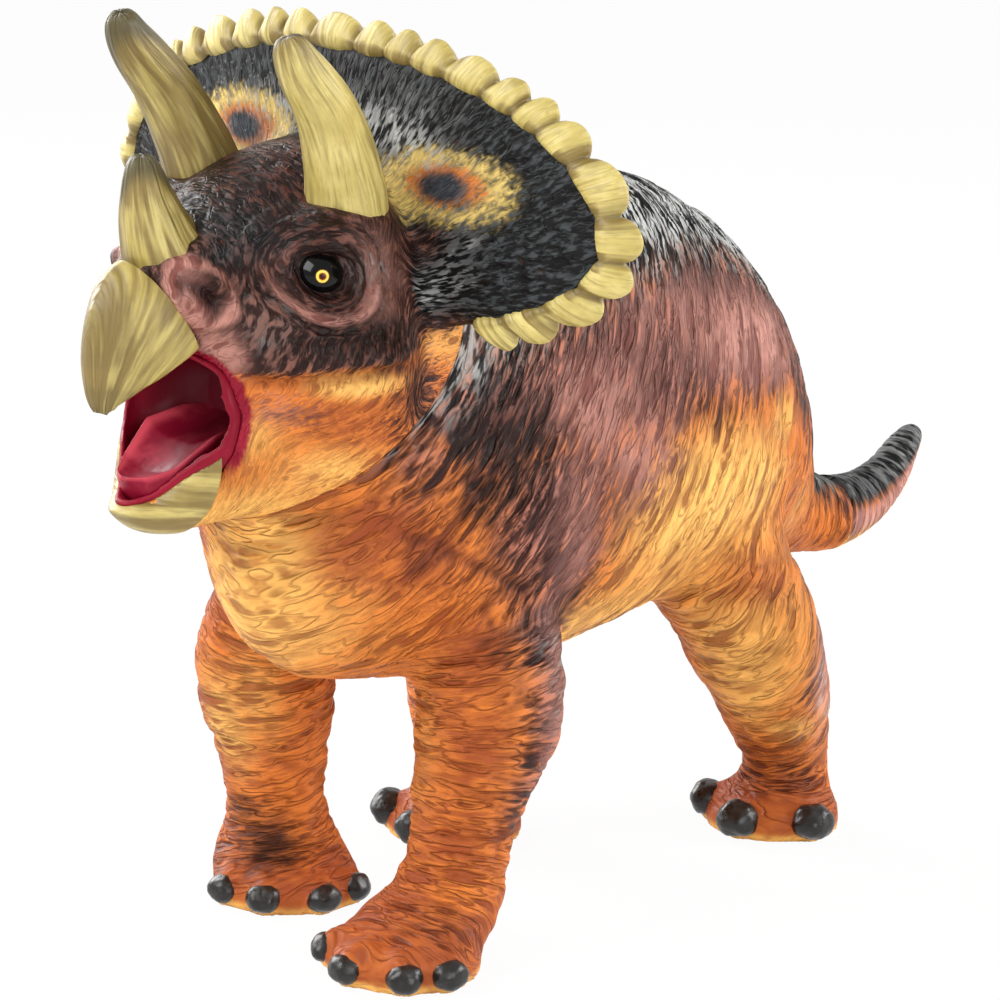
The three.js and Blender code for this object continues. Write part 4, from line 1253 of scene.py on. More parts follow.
    def marks(self, points: Array, normals: Array) -> dict[str, Array]:
        """What the airbrush left on the body.

        Args:
            points: Places in the figure's frame.
            normals: Which way the skin looks there.

        Returns:
            How covered each place is, by the paint's name.
        """
        x, y, z = points.T
        side = np.abs(x)
        folded = np.stack([side, y, z], axis=1)
        near = np.min(np.hypot(y[:, None] - np.array(CREST["y"]), z[:, None] - np.array(CREST["z"])), axis=1)
        char = ease(1.55, 0.85, np.hypot(near * 0.9, side) / np.interp(y, STRIPE["y"], STRIPE["half"]))
        start = np.interp(y, FLANK["y"], FLANK["z"])
        spots = {name: sprayed(folded, rows) for name, rows in BODY_SPOTS.items()}
        for name, rows in BODY_SPOTS_ONE_SIDE.items():
            spots[name] = np.maximum(spots[name], sprayed(points, rows))
        plum = np.maximum(0.97 * ease(-15, 12, z - start), spots["plum"])
        feet = ease(20, 7, z) * ease(-0.4, 0.4, normals[:, 2] + 0.3)
        # Over the dark back stripe a pale coat of dry brush and painted sheen, fading towards the tail.
        greyed = char * np.interp(y, [100, 165], [0.85, 0.38])
        return {"char": char, "plum": plum * (1 - 0.8 * char), "murk": spots["murk"],
                "yellow": np.maximum(spots["yellow"], 0.95 * ease(3.0, 0.8, z)),
                "ember": np.maximum(spots["ember"], 0.75 * feet), "drybrush_and_sheen": np.maximum(greyed, spots["drybrush_and_sheen"]),
                "rose": spots["rose"] * (1 - char)}

    def _throat(self, points: Array) -> Array:
        """How deep the long fold across the throat and shoulder cuts, from 0 to 1.

        Args:
            points: Places in the figure's frame.

        Returns:
            One share for each place.
        """
        line = smooth_rows(np.array(self.crease), 160)[::2]
        depth = np.zeros(len(points))
        near = points[:, 1] < 40
        away = np.min(np.linalg.norm(points[near][:, None] - line[None], axis=2), axis=1)
        depth[near] = bump(away, 0.0, 1.5)
        return depth

    def build(self, head_forms: list[Patch]) -> Patch:
        """The finished skin: union, folds and paint.

        Each fold is noise over the distance across the folds and the place along them. Its creases lie where
        the noise passes zero.

        Args:
            head_forms: Skull and jaw in the figure's frame.

        Returns:
            The painted patch.
        """
        skin = self.union(head_forms)
        normals = normals_of(skin)
        torso, limb, taken = self.across(skin.points)
        grain = Grain(SHARED_SEED)
        x, y, z = skin.points.T

        def relief(spacing: float, length: float) -> Array:
            """Folds of one size, of the torso and of the legs."""
            own = grain.at(np.stack([torso / spacing, x / length, (z + 0.4 * y) / length], axis=1))
            legs = grain.at(np.stack([limb / spacing + 40, x / length, y / length], axis=1))
            return own + (legs - own) * ease(0.3, 0.7, taken)

        broad, fine = relief(7.0, 26.0), relief(3.6, 13.0)
        calm = 0.7 * ease(7, 2, z)
        calm = np.maximum(calm, 0.15 * bump(z, 76, 12) * ease(24, 10, np.abs(x)) * ease(6, -12, y))
        strength = (1 - calm) * (1 - 0.4 * ease(20, 8, z))
        groove = np.maximum(bump(broad, 0.0, 0.11), 0.7 * bump(fine, 0.0, 0.13))
        seam = ease(0.4, 2.2, -seam_depth(skin.points))
        tail = ease(180.5, 177, y)
        throat = self._throat(skin.points)
        amount = (0.45 * broad + 0.25 * fine - 0.62 * groove + 0.1) * strength * (1 - throat) - 1.1 * throat
        skin = raised(skin, amount * seam * tail - 0.12)
        marks = self.marks(skin.points, normals)
        skin.points[:, 2] = np.maximum(skin.points[:, 2], 0.0)
        sole = ease(1.2, 0.2, skin.points[:, 2]) * (normals[:, 2] < -0.6)
        skin.points[:, 2] *= 1 - sole
        # Painted shade in the folds' grooves and the throat crease, carried as a mark for the shader.
        valley_shade = np.clip(0.75 * groove * strength + throat, 0, 1) * (skin.points[:, 2] > 0.4)
        skin.marks = {**marks, "across": torso / METRE, "across_limb": limb / METRE, "limb": taken, "calm": calm,
                      "valley_shade": 0.8 * valley_shade}
        skin.blank("spot_ring", "spot_core", "spot_eye", "cavity_shade", "lip")
        return skin


# Airbrushed spots of the head, in its own frame, written like those of the body.
HEAD_SPOTS: dict[str, Spots] = {
    "plum": [(35, -3, 2, 5, 7, 12, 0.7), (33, 0, -14, 5, 6, 10, 0.4)],
    "murk": [
        (25, -25, 35, 8, 7, 5, 0.95), (15, -24, 40, 8, 8, 5, 0.9), (33, -19, 15, 7, 7, 4, 0.95),
        (35, -11, 13, 5, 5, 5, 0.85), (20, -36, 24, 6, 6, 5, 0.5), (26, -28, 13, 6, 7, 3, 0.7),
        (33, -8, 36, 6, 6, 8, 0.6), (26, -28, -1, 8, 7, 4, 0.4), (33, -8, 2, 5, 8, 8, 0.4),
        (3, -24, 43, 9, 8, 5, 0.7), (34, -3, 2, 4, 5, 9, 0.25), (4, -32, 38, 14, 9, 7, 0.9),
        (0, -20, 44, 16, 12, 8, 0.9)],
    "char": [
        (0, -32, 38, 11, 9, 9, 0.4), (10, -33, 35, 9, 7, 5, 0.55), (16, -29, 33, 7, 6, 4, 0.6),
        (24, -17, 34, 7, 5, 4, 0.6), (14, -38, 30, 5, 4, 3, 0.6)],
    "rose": [
        (31, -12, 30, 7, 8, 8, 0.4), (15, -40, 11, 6, 6, 6, 0.8), (13, -44, 19, 4, 3, 5, 0.8),
        (32, -14, 22, 5, 6, 7, 0.35), (24, -29, 0, 8, 8, 5, 0.4), (9, -42, 27, 5, 3, 3, 0.4)],
    "ember": [
        (30, -23, -1, 8, 10, 4, 0.6), (35, -4, 3, 6, 8, 9, 0.7), (28, -25, 18.4, 4, 5, 1.6, 0.95),
        (18, -20, -16, 14, 12, 5, 0.3), (20, -38, 0, 6, 5, 6, 0.6), (30, -12, -6, 8, 10, 5, 0.4)],
    "yellow": [
        (33, -18, 5.6, 6, 15, 2.6, 0.98), (10, -30, -22, 22, 20, 8, 0.9), (26, -18, -12, 10, 14, 7, 0.7),
        (20, -34, -5, 7, 6, 5, 0.6)],
    # Pale dry brush, with a painted highlight on the forehead.
    "drybrush_and_sheen": [
        (13, -27, 42, 6, 6, 3, 0.15), (24, -34, 18, 8, 6, 7, 0.25), (31, -14, 27, 7, 7, 10, 0.3),
        (2, -10, 48, 8, 4, 3, 0.2)],
}


@dataclass
class Head:
    """The head casting: skull, jaw and frill, with lids, nostrils and cheek plates."""

    length: float = 44.0
    half_width: float = 35.0
    rise: float = 52.0
    drop: float = 24.0
    jaw_length: float = 50.0
    jaw_half_width: float = 26.0
    jaw_drop: float = 26.5
    mouth_half_width: float = 16.8
    mouth_roof: float = 10.5
    mouth_floor: float = 23.5
    lip: tuple[float, float, float] = (14.2, -31.6, 2.6)
    lip_half: tuple[float, float, float] = (4.4, 5.6, 8.6)
    frill_half_width: float = 72.8
    frill_rise: float = 33.6
    frill_drop: float = 23.0
    frill_height: float = 35.0
    frill_place: float = 3.5
    frill_sweep: float = 6.0
    frill_rim: float = 4.6
    frill_root: float = 9.0
    eye: tuple[float, float, float] = (25.2, -22.6, 26.8)
    nostril: tuple[float, float, float] = (13.0, -42.4, 22.8)
    cell: float = 0.85
    skull_ribs: tuple[tuple[float, ...], ...] = (
        (0.6, -0.85, -0.32, 0.8, 1.0),
        (0.68, -0.6, -0.05, 0.94, 0.96),
        (0.76, -0.24, 0.27, 0.925, 0.85),
        (0.82, 0.05, 0.55, 0.82, 0.73),
        (0.88, 0.15, 0.75, 0.71, 0.57),
        (0.94, 0.2, 0.93, 0.62, 0.43),
        (0.99, 0.24, 1.1, 0.53, 0.3),
    )
    jaw_ribs: tuple[tuple[float, ...], ...] = (
        (0.3, -0.9, 0.2, 0.5, 0.95),
        (0.46, -0.95, 0.42, 0.3, 0.88),
        (0.6, -0.96, 0.6, 0.5, 0.79),
        (0.7, -0.975, 0.71, 0.4, 0.7),
        (0.76, -0.985, 0.785, -0.34, 0.6),
        (0.85, -1.0, 0.92, -0.62, 0.37),
        (0.94, -0.96, 1.005, -0.74, 0.2),
        (1.005, -0.87, 1.04, -0.79, 0.08),
    )
    mouth_ribs: tuple[tuple[float, ...], ...] = (
        (0.44, -0.3, 0.44, 0.4, 0.45),
        (0.5, -0.48, 0.5, 0.7, 0.74),
        (0.62, -0.68, 0.62, 0.9, 0.94),
        (0.74, -0.84, 0.74, 1.0, 1.0),
        (0.86, -0.92, 0.88, 1.08, 0.68),
        (0.96, -0.9, 0.99, 0.5, 0.42),
        (1.08, -0.8, 1.12, -0.45, 0.26),
    )
    beak_ribs: tuple[tuple[float, ...], ...] = (
        (0.685, 0.35, 0.853, 0.95, 0.96),
        (0.735, 0.28, 0.89, 0.91, 0.93),
        (0.79, 0.2, 0.935, 0.82, 0.81),
        (0.845, 0.13, 0.975, 0.65, 0.66),
        (0.89, 0.06, 1.0, 0.41, 0.48),
        (0.925, 0.0, 0.992, 0.14, 0.3),
        (0.935, -0.04, 0.965, -0.02, 0.13),
    )

    def _ribs(self, rows: tuple[tuple[float, ...], ...], reach: tuple[float, float, float], half_width: float,
              widest: float, full: tuple[float, float], margin: float = 0.0) -> list[Rib]:
        """Ribs from rows of shares: keel ahead and up, crest ahead and up, and width.

        Args:
            rows: The shares.
            reach: Length, rise and drop.
            half_width: Half the greatest width.
            widest: Where between keel and crest it is widest.
            full: Fullness above and below.
            margin: What is added to each half width.

        Returns:
            The ribs.
        """
        length, rise, drop = reach

        def point(ahead: float, up: float) -> tuple[float, float]:
            """A point of the middle plane."""
            return (-length * ahead, up * (rise if up > 0 else drop))

        return [keeled_rib(point(row[0], row[1]), point(row[2], row[3]), half_width * row[4] + margin, widest, full)
                for row in rows]

    def skull(self, collar: bool = True) -> Patch:
        """The skull's skin, from the round collar of the seam to the snout.

        Args:
            collar: Whether it starts behind the seam.

        Returns:
            The patch in the head's frame.
        """
        axis, side, top = JOINTS.neck_axes()
        depths = (-2.5, 2.5) if collar else (0.3, 2.5)
        rings = [round_rib(axis * depth, side, top, JOINTS.neck_radius) for depth in depths]
        ribs = self._ribs(self.skull_ribs, (self.length, self.rise, self.drop), self.half_width, 0.42, (1.05, 1.15))
        return loft(rings + ribs, 110, 120)

    def jaw(self) -> Patch:
        """The lower jaw's skin."""
        ribs = self._ribs(self.jaw_ribs, (self.jaw_length, self.mouth_roof, self.jaw_drop), self.jaw_half_width,
                          0.6, (1.15, 1.1))
        return loft(ribs, 90, 80)

    def beak_below(self) -> Patch:
        """The lower beak's form: the front of the jaw, a little wider."""
        rows = ((0.82, -0.985, 0.745, -0.12, 0.61), *self.jaw_ribs[5:])
        return loft(self._ribs(rows, (self.jaw_length, self.mouth_roof, self.jaw_drop), self.jaw_half_width, 0.6,
                               (1.15, 1.1), 0.4), 70, 80)

    def mouth(self) -> Patch:
        """The hollow of the mouth."""
        ribs = self._ribs(self.mouth_ribs, (self.jaw_length, self.mouth_roof, self.mouth_floor),
                          self.mouth_half_width, 0.5, (1.5, 1.1))
        return loft(ribs, 80, 72)

    def beak(self) -> Patch:
        """The upper beak's form."""
        ribs = self._ribs(self.beak_ribs, (59.2, 30.0, 30.0), 13.0, 0.16, (0.78, 1.4))
        return loft(ribs, 90, 96)

    def lip_corner(self, side: int, grow: float = 0.0) -> Patch:
        """The fold of skin that closes a corner of the mouth."""
        half = tuple(value + grow for value in self.lip_half)
        return egg(half, (side * self.lip[0], self.lip[1], self.lip[2]))

    def frill_point(self, angle: Array, share: Array, offset: Array | float = 0.0) -> Array:
        """Points of the frill's middle surface.

        Across is the half width, and up the rise or the drop, each times the share of the way out, turned
        round an ellipse. The surface is swept back by the square of the distance across.

        Args:
            angle: Angle round the frill from its left end.
            share: Share of the way from its middle to its rim.
            offset: Distance past that, along the angle.

        Returns:
            Points in the head's frame.
        """
        up = np.where(np.sin(angle) > 0, self.frill_rise, self.frill_drop)
        across = (self.frill_half_width * share + offset) * np.cos(angle)
        height = (up * share + offset) * np.sin(angle)
        sweep = self.frill_sweep * (across / self.frill_half_width) ** 2
        return np.stack([across, self.frill_place + sweep, self.frill_height + height], axis=-1)

    def frill(self) -> Patch:
        """The shield itself: a front and a back grid that meet in a rounded rim.

        Returns:
            The patch in the head's frame.
        """
        angle = np.linspace(0, 2 * math.pi, 180, endpoint=False)[None, :]
        out = np.concatenate([np.linspace(0.3, 0.94, 26), np.linspace(0.95, 1.0, 5)])
        slope = np.clip((out - 0.35) / (0.94 - 0.35), 0, 1)
        half = (self.frill_root + (self.frill_rim - self.frill_root) * slope) / 2
        half *= np.sqrt(np.clip(1 - ((out - 0.94) / 0.062).clip(0) ** 2, 0.02, 1))
        front = self.frill_point(angle, out[:, None]) - np.array([0, 1, 0]) * half[:, None, None]
        rear = self.frill_point(angle, out[::-1, None]) + np.array([0, 1, 0]) * half[::-1, None, None]
        return tube(np.concatenate([front, rear]))

    def neck_forms(self) -> list[Patch]:
        """Skull and jaw in the figure's frame, for the body to be modelled against."""
        return [JOINTS.from_head(form) for form in (self.skull(), self.jaw())]

    def union(self, torso: Patch) -> Patch:
        """Skull, jaw, frill and what stands out of them as one skin, cut off at the neck seam.

        Args:
            torso: The torso's form in the figure's frame, which the neck runs into.

        Returns:
            The patch in the head's frame.
        """
        behind = Blender.cut(JOINTS.to_head(torso), JOINTS.to_head(half_space(-14.0, -1.0)))
        parts = [self.skull(), self.jaw(), self.frill(), behind]
        for side in (-1, 1):
            parts.append(egg((9, 13, 8), (side * 22.5, -13, 33)))
            parts.append(egg((6.5, 8.5, 3.9), (side * 30, -11, 10), side * 20))
            parts.append(egg((5.5, 5.0, 5.5), (side * 12.4, -40.2, 22.6), -side * 35))
            parts.append(self.lip_corner(side))
        skin = Blender.remeshed(parts, self.cell)
        x, y, z = skin.points.T
        axial = skin.points @ JOINTS.neck_axes()[0]
        rim = np.hypot(x / self.frill_half_width, (z - self.frill_height) / self.frill_rise)
        share = np.where((rim > 0.8) & (y > -4), 0.1, 0.42)
        share = np.where((axial < -9) | (z < -60), 0.0, share)
        skin = smoothed(skin, 30, share)
        return Blender.cut(skin, JOINTS.to_head(half_space(JOINTS.seam_gap, -1.0)))

    def across(self, points: Array) -> tuple[Array, Array, Array]:
        """Distances across the head's folds, and across those round the eyes, with the eyes' share.

        Cheek folds run up and down, so the distance across them is the place along the head. It turns into
        the distance from the seam on jaw and throat, and into the fan's angle times its reach on the frill.

        Args:
            points: Places in the head's frame.

        Returns:
            Two distances in millimetres and a share.
        """
        x, y, z = points.T
        folded = np.stack([np.abs(x), y, z], axis=1)
        throat = ease(6, -8, z) * ease(-40, -24, y)
        total = (-y + 0.3 * z) * (1 - throat) + (points @ JOINTS.neck_axes()[0] - 4.0) * throat
        shield = ease(-8, -2, y) * ease(-6, 4, z)
        fan = np.arctan2(z - 14.0, x) * 46.0
        total = total * (1 - shield) + fan * shield
        eye = folded - np.array(self.eye)
        away = np.linalg.norm(eye * np.array([0.5, 0.95, 1.0]), axis=1)
        return total, away, ease(15, 9, away) * (1 - shield)

    def carved(self, skin: Patch) -> Patch:
        """Lids, nostrils, cheek plates, brow and snout ridges, pushed out of the skin or into it.

        Args:
            skin: The joined skin in the head's frame.

        Returns:
            The carved skin, with marks of painted shade in the nostrils, in the rings round the eyes and under the
            cheek plates.
        """
        x, y, z = skin.points.T
        side = np.abs(x)
        folded = np.stack([side, y, z], axis=1)
        amount = np.zeros(len(x))
        shield = ease(-7, -3, y)
        plate = ease(7.0, 9.0, z - 0.10 * (y + 30)) * ease(-7.5, -9.5, y) * ease(-42, -34, y) * ease(14, 22, side)
        plate *= ease(26, 18, z)
        amount += 1.7 * plate * (1 - shield)
        under = bump(z - 0.10 * (y + 30), 6.2, 1.2) * ease(-6, -10, y) * ease(-40, -33, y) * ease(14, 22, side)
        amount -= 1.0 * under * (1 - shield)
        eye = np.array(self.eye)
        away = folded - eye
        radial = np.hypot(away[:, 1] * 0.92, away[:, 2] * 1.05)
        on_side = (side > 14) & (y < -6)
        lower = ease(1.5, -3, away[:, 2])
        amount += on_side * 1.3 * bump(radial, 5.8, 1.2)
        for ring, height in ((7.9, -0.8), (9.4, 0.6), (10.9, -0.6), (12.4, 0.4), (13.9, -0.4)):
            amount += on_side * height * bump(radial, ring, 0.75) * (0.25 + 0.75 * lower)
        brow = bump(away[:, 2] - 0.12 * away[:, 1], 8.8, 2.8) * bump(away[:, 1], -1, 12) * on_side
        amount += 1.7 * brow
        hole = folded - np.array(self.nostril)
        hole = np.hypot(hole[:, 1] * 0.9 + hole[:, 2] * 0.35, hole[:, 2] * 0.62)
        snout = y < -33
        amount += snout * 0.9 * bump(hole, 3.6, 1.2)
        amount -= snout * 3.0 * bump(hole, 0.0, 1.9)
        ridge = bump(z - (30 + 0.35 * (y + 40)), 0, 2.6) * ease(-44, -40, y) * ease(-24, -30, y) * ease(5, 9, side)
        amount += 1.0 * ridge
        skin = raised(skin, amount)
        # Painted shade inside the nostrils' holes, in the sunk rings round the eyes and in the groove under the cheek
        # plates.
        skin.marks["cavity_shade"] = snout * ease(2.5, 1.3, hole)
        skin.marks["valley_shade"] = np.clip(-0.9 * amount * on_side * (radial < 15) + 0.7 * under, 0, 1)
        return skin

    def marks(self, points: Array) -> dict[str, Array]:
        """What the airbrush left on the head.

        Args:
            points: Places in the head's frame.

        Returns:
            How covered each place is, by the paint's name.
        """
        x, y, z = points.T
        folded = np.stack([np.abs(x), y, z], axis=1)
        shield = ease(-6, -2, y) * ease(2, 12, z)
        edge = z - 0.10 * (y + 30)
        mask = ease(5.5, 10.5, edge) * (1 - shield) + shield * ease(11, 17, z)
        spots = {name: sprayed(folded, rows) for name, rows in HEAD_SPOTS.items()}
        plum = np.maximum(0.95 * mask, spots["plum"])
        eyelid = np.hypot((folded[:, 1] - self.eye[1]) * 0.92, (z - self.eye[2]) * 1.05)
        beside = (folded[:, 0] > 14) & (y < -6)
        murk = np.maximum(spots["murk"], beside * (0.98 * ease(7.2, 6.2, eyelid) + 0.6 * bump(eyelid, 10.6, 0.8)))
        out = np.hypot(x / self.frill_half_width, (z - self.frill_height) / self.frill_rise)
        front = shield * ease(15, 24, z + 0.06 * np.abs(x)) * ease(0.36, 0.56, out + 0.1 * ease(30, 50, np.abs(x)))
        front = np.maximum(front, shield * ease(30, 37, z) * ease(0.2, 0.4, out))
        char = np.maximum(spots["char"] * (1 - shield), 0.97 * front)
        lower_lid = 0.75 * bump(eyelid, 8.8, 1.0) * ease(2, -4, z - self.eye[2])
        # The rose ring on each nostril's raised rim is a painted highlight.
        muzzle = np.hypot((y - self.nostril[1]) * 0.9, (z - self.nostril[2]) * 0.62)
        ringed = np.maximum(beside * lower_lid, (y < -36) * 0.8 * bump(muzzle, 3.8, 0.8))
        yellow = np.maximum(spots["yellow"], 0.5 * shield * ease(19, 14, z))
        centre = np.where(x > 0, 35.0, -25.0)
        height = np.where(x > 0, 43.0, 48.5)
        spot = np.hypot((x - centre) / 16.8, (z - height) / 7.6)
        ahead = shield * (y < self.frill_place + self.frill_sweep * (x / self.frill_half_width) ** 2 + 0.5)
        speckle = Grain(SHARED_SEED + 8).at(points / 0.9) * 0.35
        ring = np.clip(ahead * (bump(spot, 0.74, 0.34) * 0.56 + speckle * bump(spot, 0.85, 0.35)), 0, 1)
        core = np.clip(ahead * (bump(spot, 0.38, 0.26) * 0.66 * (0.7 + 0.3 * ease(-4, 4, z - height)) + 0.6 * speckle
                                * bump(spot, 0.5, 0.25)), 0, 1)
        eye = ahead * ease(0.48, 0.16, np.hypot((x - centre + 1) / 18.5, (z - height) / 9.5)) * 0.85
        # A grey sheen over the frill's dark front: painted sheen with dry brush.
        greyed = front * (0.15 + 0.45 * bump(out, 0.58, 0.14)) * ease(56, 26, np.abs(x))
        return {"plum": plum, "char": char, "rose": np.maximum(spots["rose"], ringed) * (1 - shield),
                "ember": spots["ember"], "yellow": yellow, "drybrush_and_sheen": np.maximum(greyed, spots["drybrush_and_sheen"]),
                "murk": murk * (1 - shield), "spot_ring": ring, "spot_core": core, "spot_eye": eye}

    def build(self, torso: Patch) -> Patch:
        """The finished skin in the figure's frame.

        Args:
            torso: The torso's form in the figure's frame.

        Returns:
            The painted patch.
        """
        skin = self.carved(self.union(torso))
        grain = Grain(SHARED_SEED + 1)
        across, rings, round_eye = self.across(skin.points)
        x, y, z = skin.points.T

        def relief(spacing: float, length: float) -> Array:
            """Folds of one size, of the skin and round the eyes."""
            own = grain.at(np.stack([across / spacing, x / length, z / length], axis=1))
            eyes = grain.at(np.stack([rings / spacing + 30, x / length, z / length], axis=1))
            return own + (eyes - own) * round_eye

        axial = skin.points @ JOINTS.neck_axes()[0]
        shield = ease(-6, -2, y) * ease(2, 12, z)
        broad, fine = relief(4.2, 16.0), relief(2.0, 9.0)
        low = ease(7, 0, z)
        groove = np.maximum(bump(broad, 0.0, 0.1) * (0.4 + 0.6 * low), 0.5 * bump(fine, 0.0, 0.12))
        height = 0.28 * broad * (0.4 + 0.6 * low) + 0.14 * fine - 0.32 * groove
        smooth = ease(0.5, 2.5, axial) * (1 - 0.35 * shield)
        cavity_shade, valley_shade = skin.marks["cavity_shade"], skin.marks["valley_shade"]
        skin = raised(skin, height * smooth - 0.05)
        # Painted shade in the folds' grooves, off the frill, and in the carved recesses.
        creased = np.clip(0.55 * groove * smooth * (1 - shield) + valley_shade, 0, 1)
        skin.marks = {**self.marks(skin.points), "cavity_shade": cavity_shade, "across": across / METRE,
                      "across_limb": rings / METRE, "limb": round_eye, "calm": 0.3 * low * ease(-10, -22, y),
                      "valley_shade": creased}
        hollow = self.mouth()
        cut = Blender.cut_marked(skin, raised(hollow, 0.2))
        away = np.linalg.norm(cut.points - hollow.points[nearest(cut.points, hollow.points)], axis=1)
        cut.marks["lip"] = ease(2.3, 1.7, away + 0.3 * Grain(SHARED_SEED + 7).at(cut.points / 5.0))
        cut.marks["lip"] *= ease(-15, -10, cut.points[:, 2] + 0.4 * (cut.points[:, 1] + 36))
        return JOINTS.from_head(cut)


@dataclass
class Fittings:
    """Horns, beaks, mouth, tongue, eyes, frill edging and claws."""

    head: Head
    scallops: int = 27
    edging_start: float = -55.0
    claw_half: tuple[float, float, float] = (5.1, 4.4, 4.1)
    fore_share: float = 0.76
    floor_gap: float = 0.5
    eye_radius: float = 4.8
    iris: float = 0.34

    def horn(self, knots: list[tuple[float, float, float]], radius: float, tip: float, flutes: int,
             lobes: float, olive: float) -> Patch:
        """A horn along a smooth path.

        The radius falls from root to tip by the 1.3rd power of the way, rounds off at the tip, and carries
        shallow flutes, cosines of the angle, that fade out upwards.

        Args:
            knots: Points of the path in the head's frame.
            radius: Radius at the root.
            tip: Radius near the tip.
            flutes: How many flutes go round.
            lobes: How deep they are.
            olive: How far the whole horn is darkened.

        Returns:
            The patch, with the distance across its streaks, and olive where it darkens.
        """
        rings, sides = 90, 72
        path = smooth_rows(np.array(knots), rings)
        way = np.linspace(0, 1, rings)
        taper = (radius + (tip - radius) * way**1.3) * np.sqrt(np.clip(1 - way**16, 0.02, 1))
        angle = np.linspace(0, 2 * math.pi, sides, endpoint=False)
        wave = lobes * np.cos(flutes * angle + 0.9)[None, :] * (1 - way[:, None]) ** 1.5
        patch = swept(path, taper[:, None] * (1 + wave), sides)
        shade = np.repeat(olive + 0.95 * np.clip((way - 0.6) / 0.4, 0, 1) ** 1.4, sides)
        around = np.tile(0.35 * bump(np.cos(angle + 0.6), 0.2, 0.5), rings)
        across = np.tile(radius * np.abs(angle - math.pi), rings)
        patch.marks = {"across": np.append(across, [0.0, 0.0]) / METRE,
                       "olive": np.concatenate([shade + around, [0.2, 1.1]])}
        grain = Grain(SHARED_SEED + 2)
        long_way = np.append(np.repeat(way, sides) * 4.0, [0.0, 4.0])
        streak = grain.at(np.stack([np.append(across, [0, 0]) / 2.6, long_way, np.full(len(long_way), radius)], axis=1))
        return JOINTS.from_head(raised(patch, 0.22 * streak + 0.12 * grain.at(patch.points / 6)))

    def brow_horn(self, side: int) -> Patch:
        """One of the long horns over the eyes.

        Args:
            side: 1 for the left horn, -1 for the right one.

        Returns:
            The patch in the figure's frame.
        """
        def at(out: float, ahead: float, up: float) -> tuple[float, float, float]:
            """A point by shares of splay, lean and length."""
            return (side * (22.5 + 3.0 * out), -(13.0 + 19.0 * ahead), 41.0 + 32.0 * up)

        knots = [at(-0.6, -0.1, -7 / 32), at(0, 0.05, 0.1), at(0.8, 0.4, 0.5), at(1.1, 0.85, 0.82), at(1, 1, 1)]
        return self.horn(knots, 8.7, 2.8, 3, 0.07, 0.05 if side > 0 else 0.62)

    def nose_horn(self) -> Patch:
        """The short fluted horn on the snout.

        Returns:
            The patch in the figure's frame.
        """
        def at(ahead: float, up: float) -> tuple[float, float, float]:
            """A point by shares of lean and length."""
            return (0.0, -(42.0 + 4.4 * ahead), 31.0 + 17.5 * up)

        return self.horn([at(-0.9, -7 / 17.5), at(0, 0.05), at(0.7, 0.55), at(1, 1)], 9.3, 2.3, 9, 0.06, 0.6)

    def upper_beak(self) -> Patch:
        """The hooked upper beak, with fine ridges that fan out from above its tip.

        Returns:
            The patch in the figure's frame.
        """
        patch = self.head.beak()
        x, y, z = patch.points.T
        aim = unit(patch.points - np.array([0.0, -56.0, -6.0]))
        across = 30.0 * np.arccos(np.clip(aim @ unit(np.array([0.0, -0.25, 0.97])), -1, 1))
        grain = Grain(SHARED_SEED + 3)
        streak = grain.at(np.stack([across / 2.2, z / 14, x / 14], axis=1))
        olive = 0.42 + 0.65 * bump(z, 15, 13) * ease(12, 5, np.abs(x)) * ease(-42, -52, y)
        olive += 0.5 * ease(7, 0, z) + 0.3 * bump(y, -46, 4) * ease(12, 20, z)
        patch.marks = {"across": across / METRE, "olive": np.clip(olive, 0, 0.95)}
        return JOINTS.from_head(Blender.cut_marked(raised(patch, 0.2 * streak), self.head.mouth()))

    def lower_beak(self) -> Patch:
        """The thin lower beak: the front of the jaw, hollowed by the mouth."""
        patch = self.head.beak_below()
        patch.marks = {"across": np.abs(patch.points[:, 2]) / METRE, "olive": np.full(len(patch.points), 0.7)}
        return JOINTS.from_head(Blender.cut_marked(patch, self.head.mouth()))

    def lining(self) -> Patch:
        """The mouth's lining: the hollow's own wall, kept where lips, beaks and jaw carry it.

        Returns:
            The patch in the figure's frame.
        """
        head = self.head
        forms = [raised(form, 0.7) for form in (head.skull(False), head.jaw(), head.beak(), head.beak_below())]
        forms += [head.lip_corner(side, 0.7) for side in (-1, 1)]
        carrier = Blender.remeshed(forms, 0.8)
        bag = head.mouth()
        inside = Blender.remeshed([raised(bag, -1.3)], 0.5)
        shell = Blender.cut(Blender.cut(bag, carrier, "INTERSECT"), inside)
        shell = smoothed(Blender.remeshed([shell], 0.45), 6, 0.5)
        y = shell.points[:, 1]
        # Painted shade deeper in the mouth, and painted highlight towards its opening.
        shell.marks = {"cavity_shade": 0.9 * ease(-36, -24, y), "rim": 0.25 * ease(-38, -46, y)}
        return JOINTS.from_head(shell)

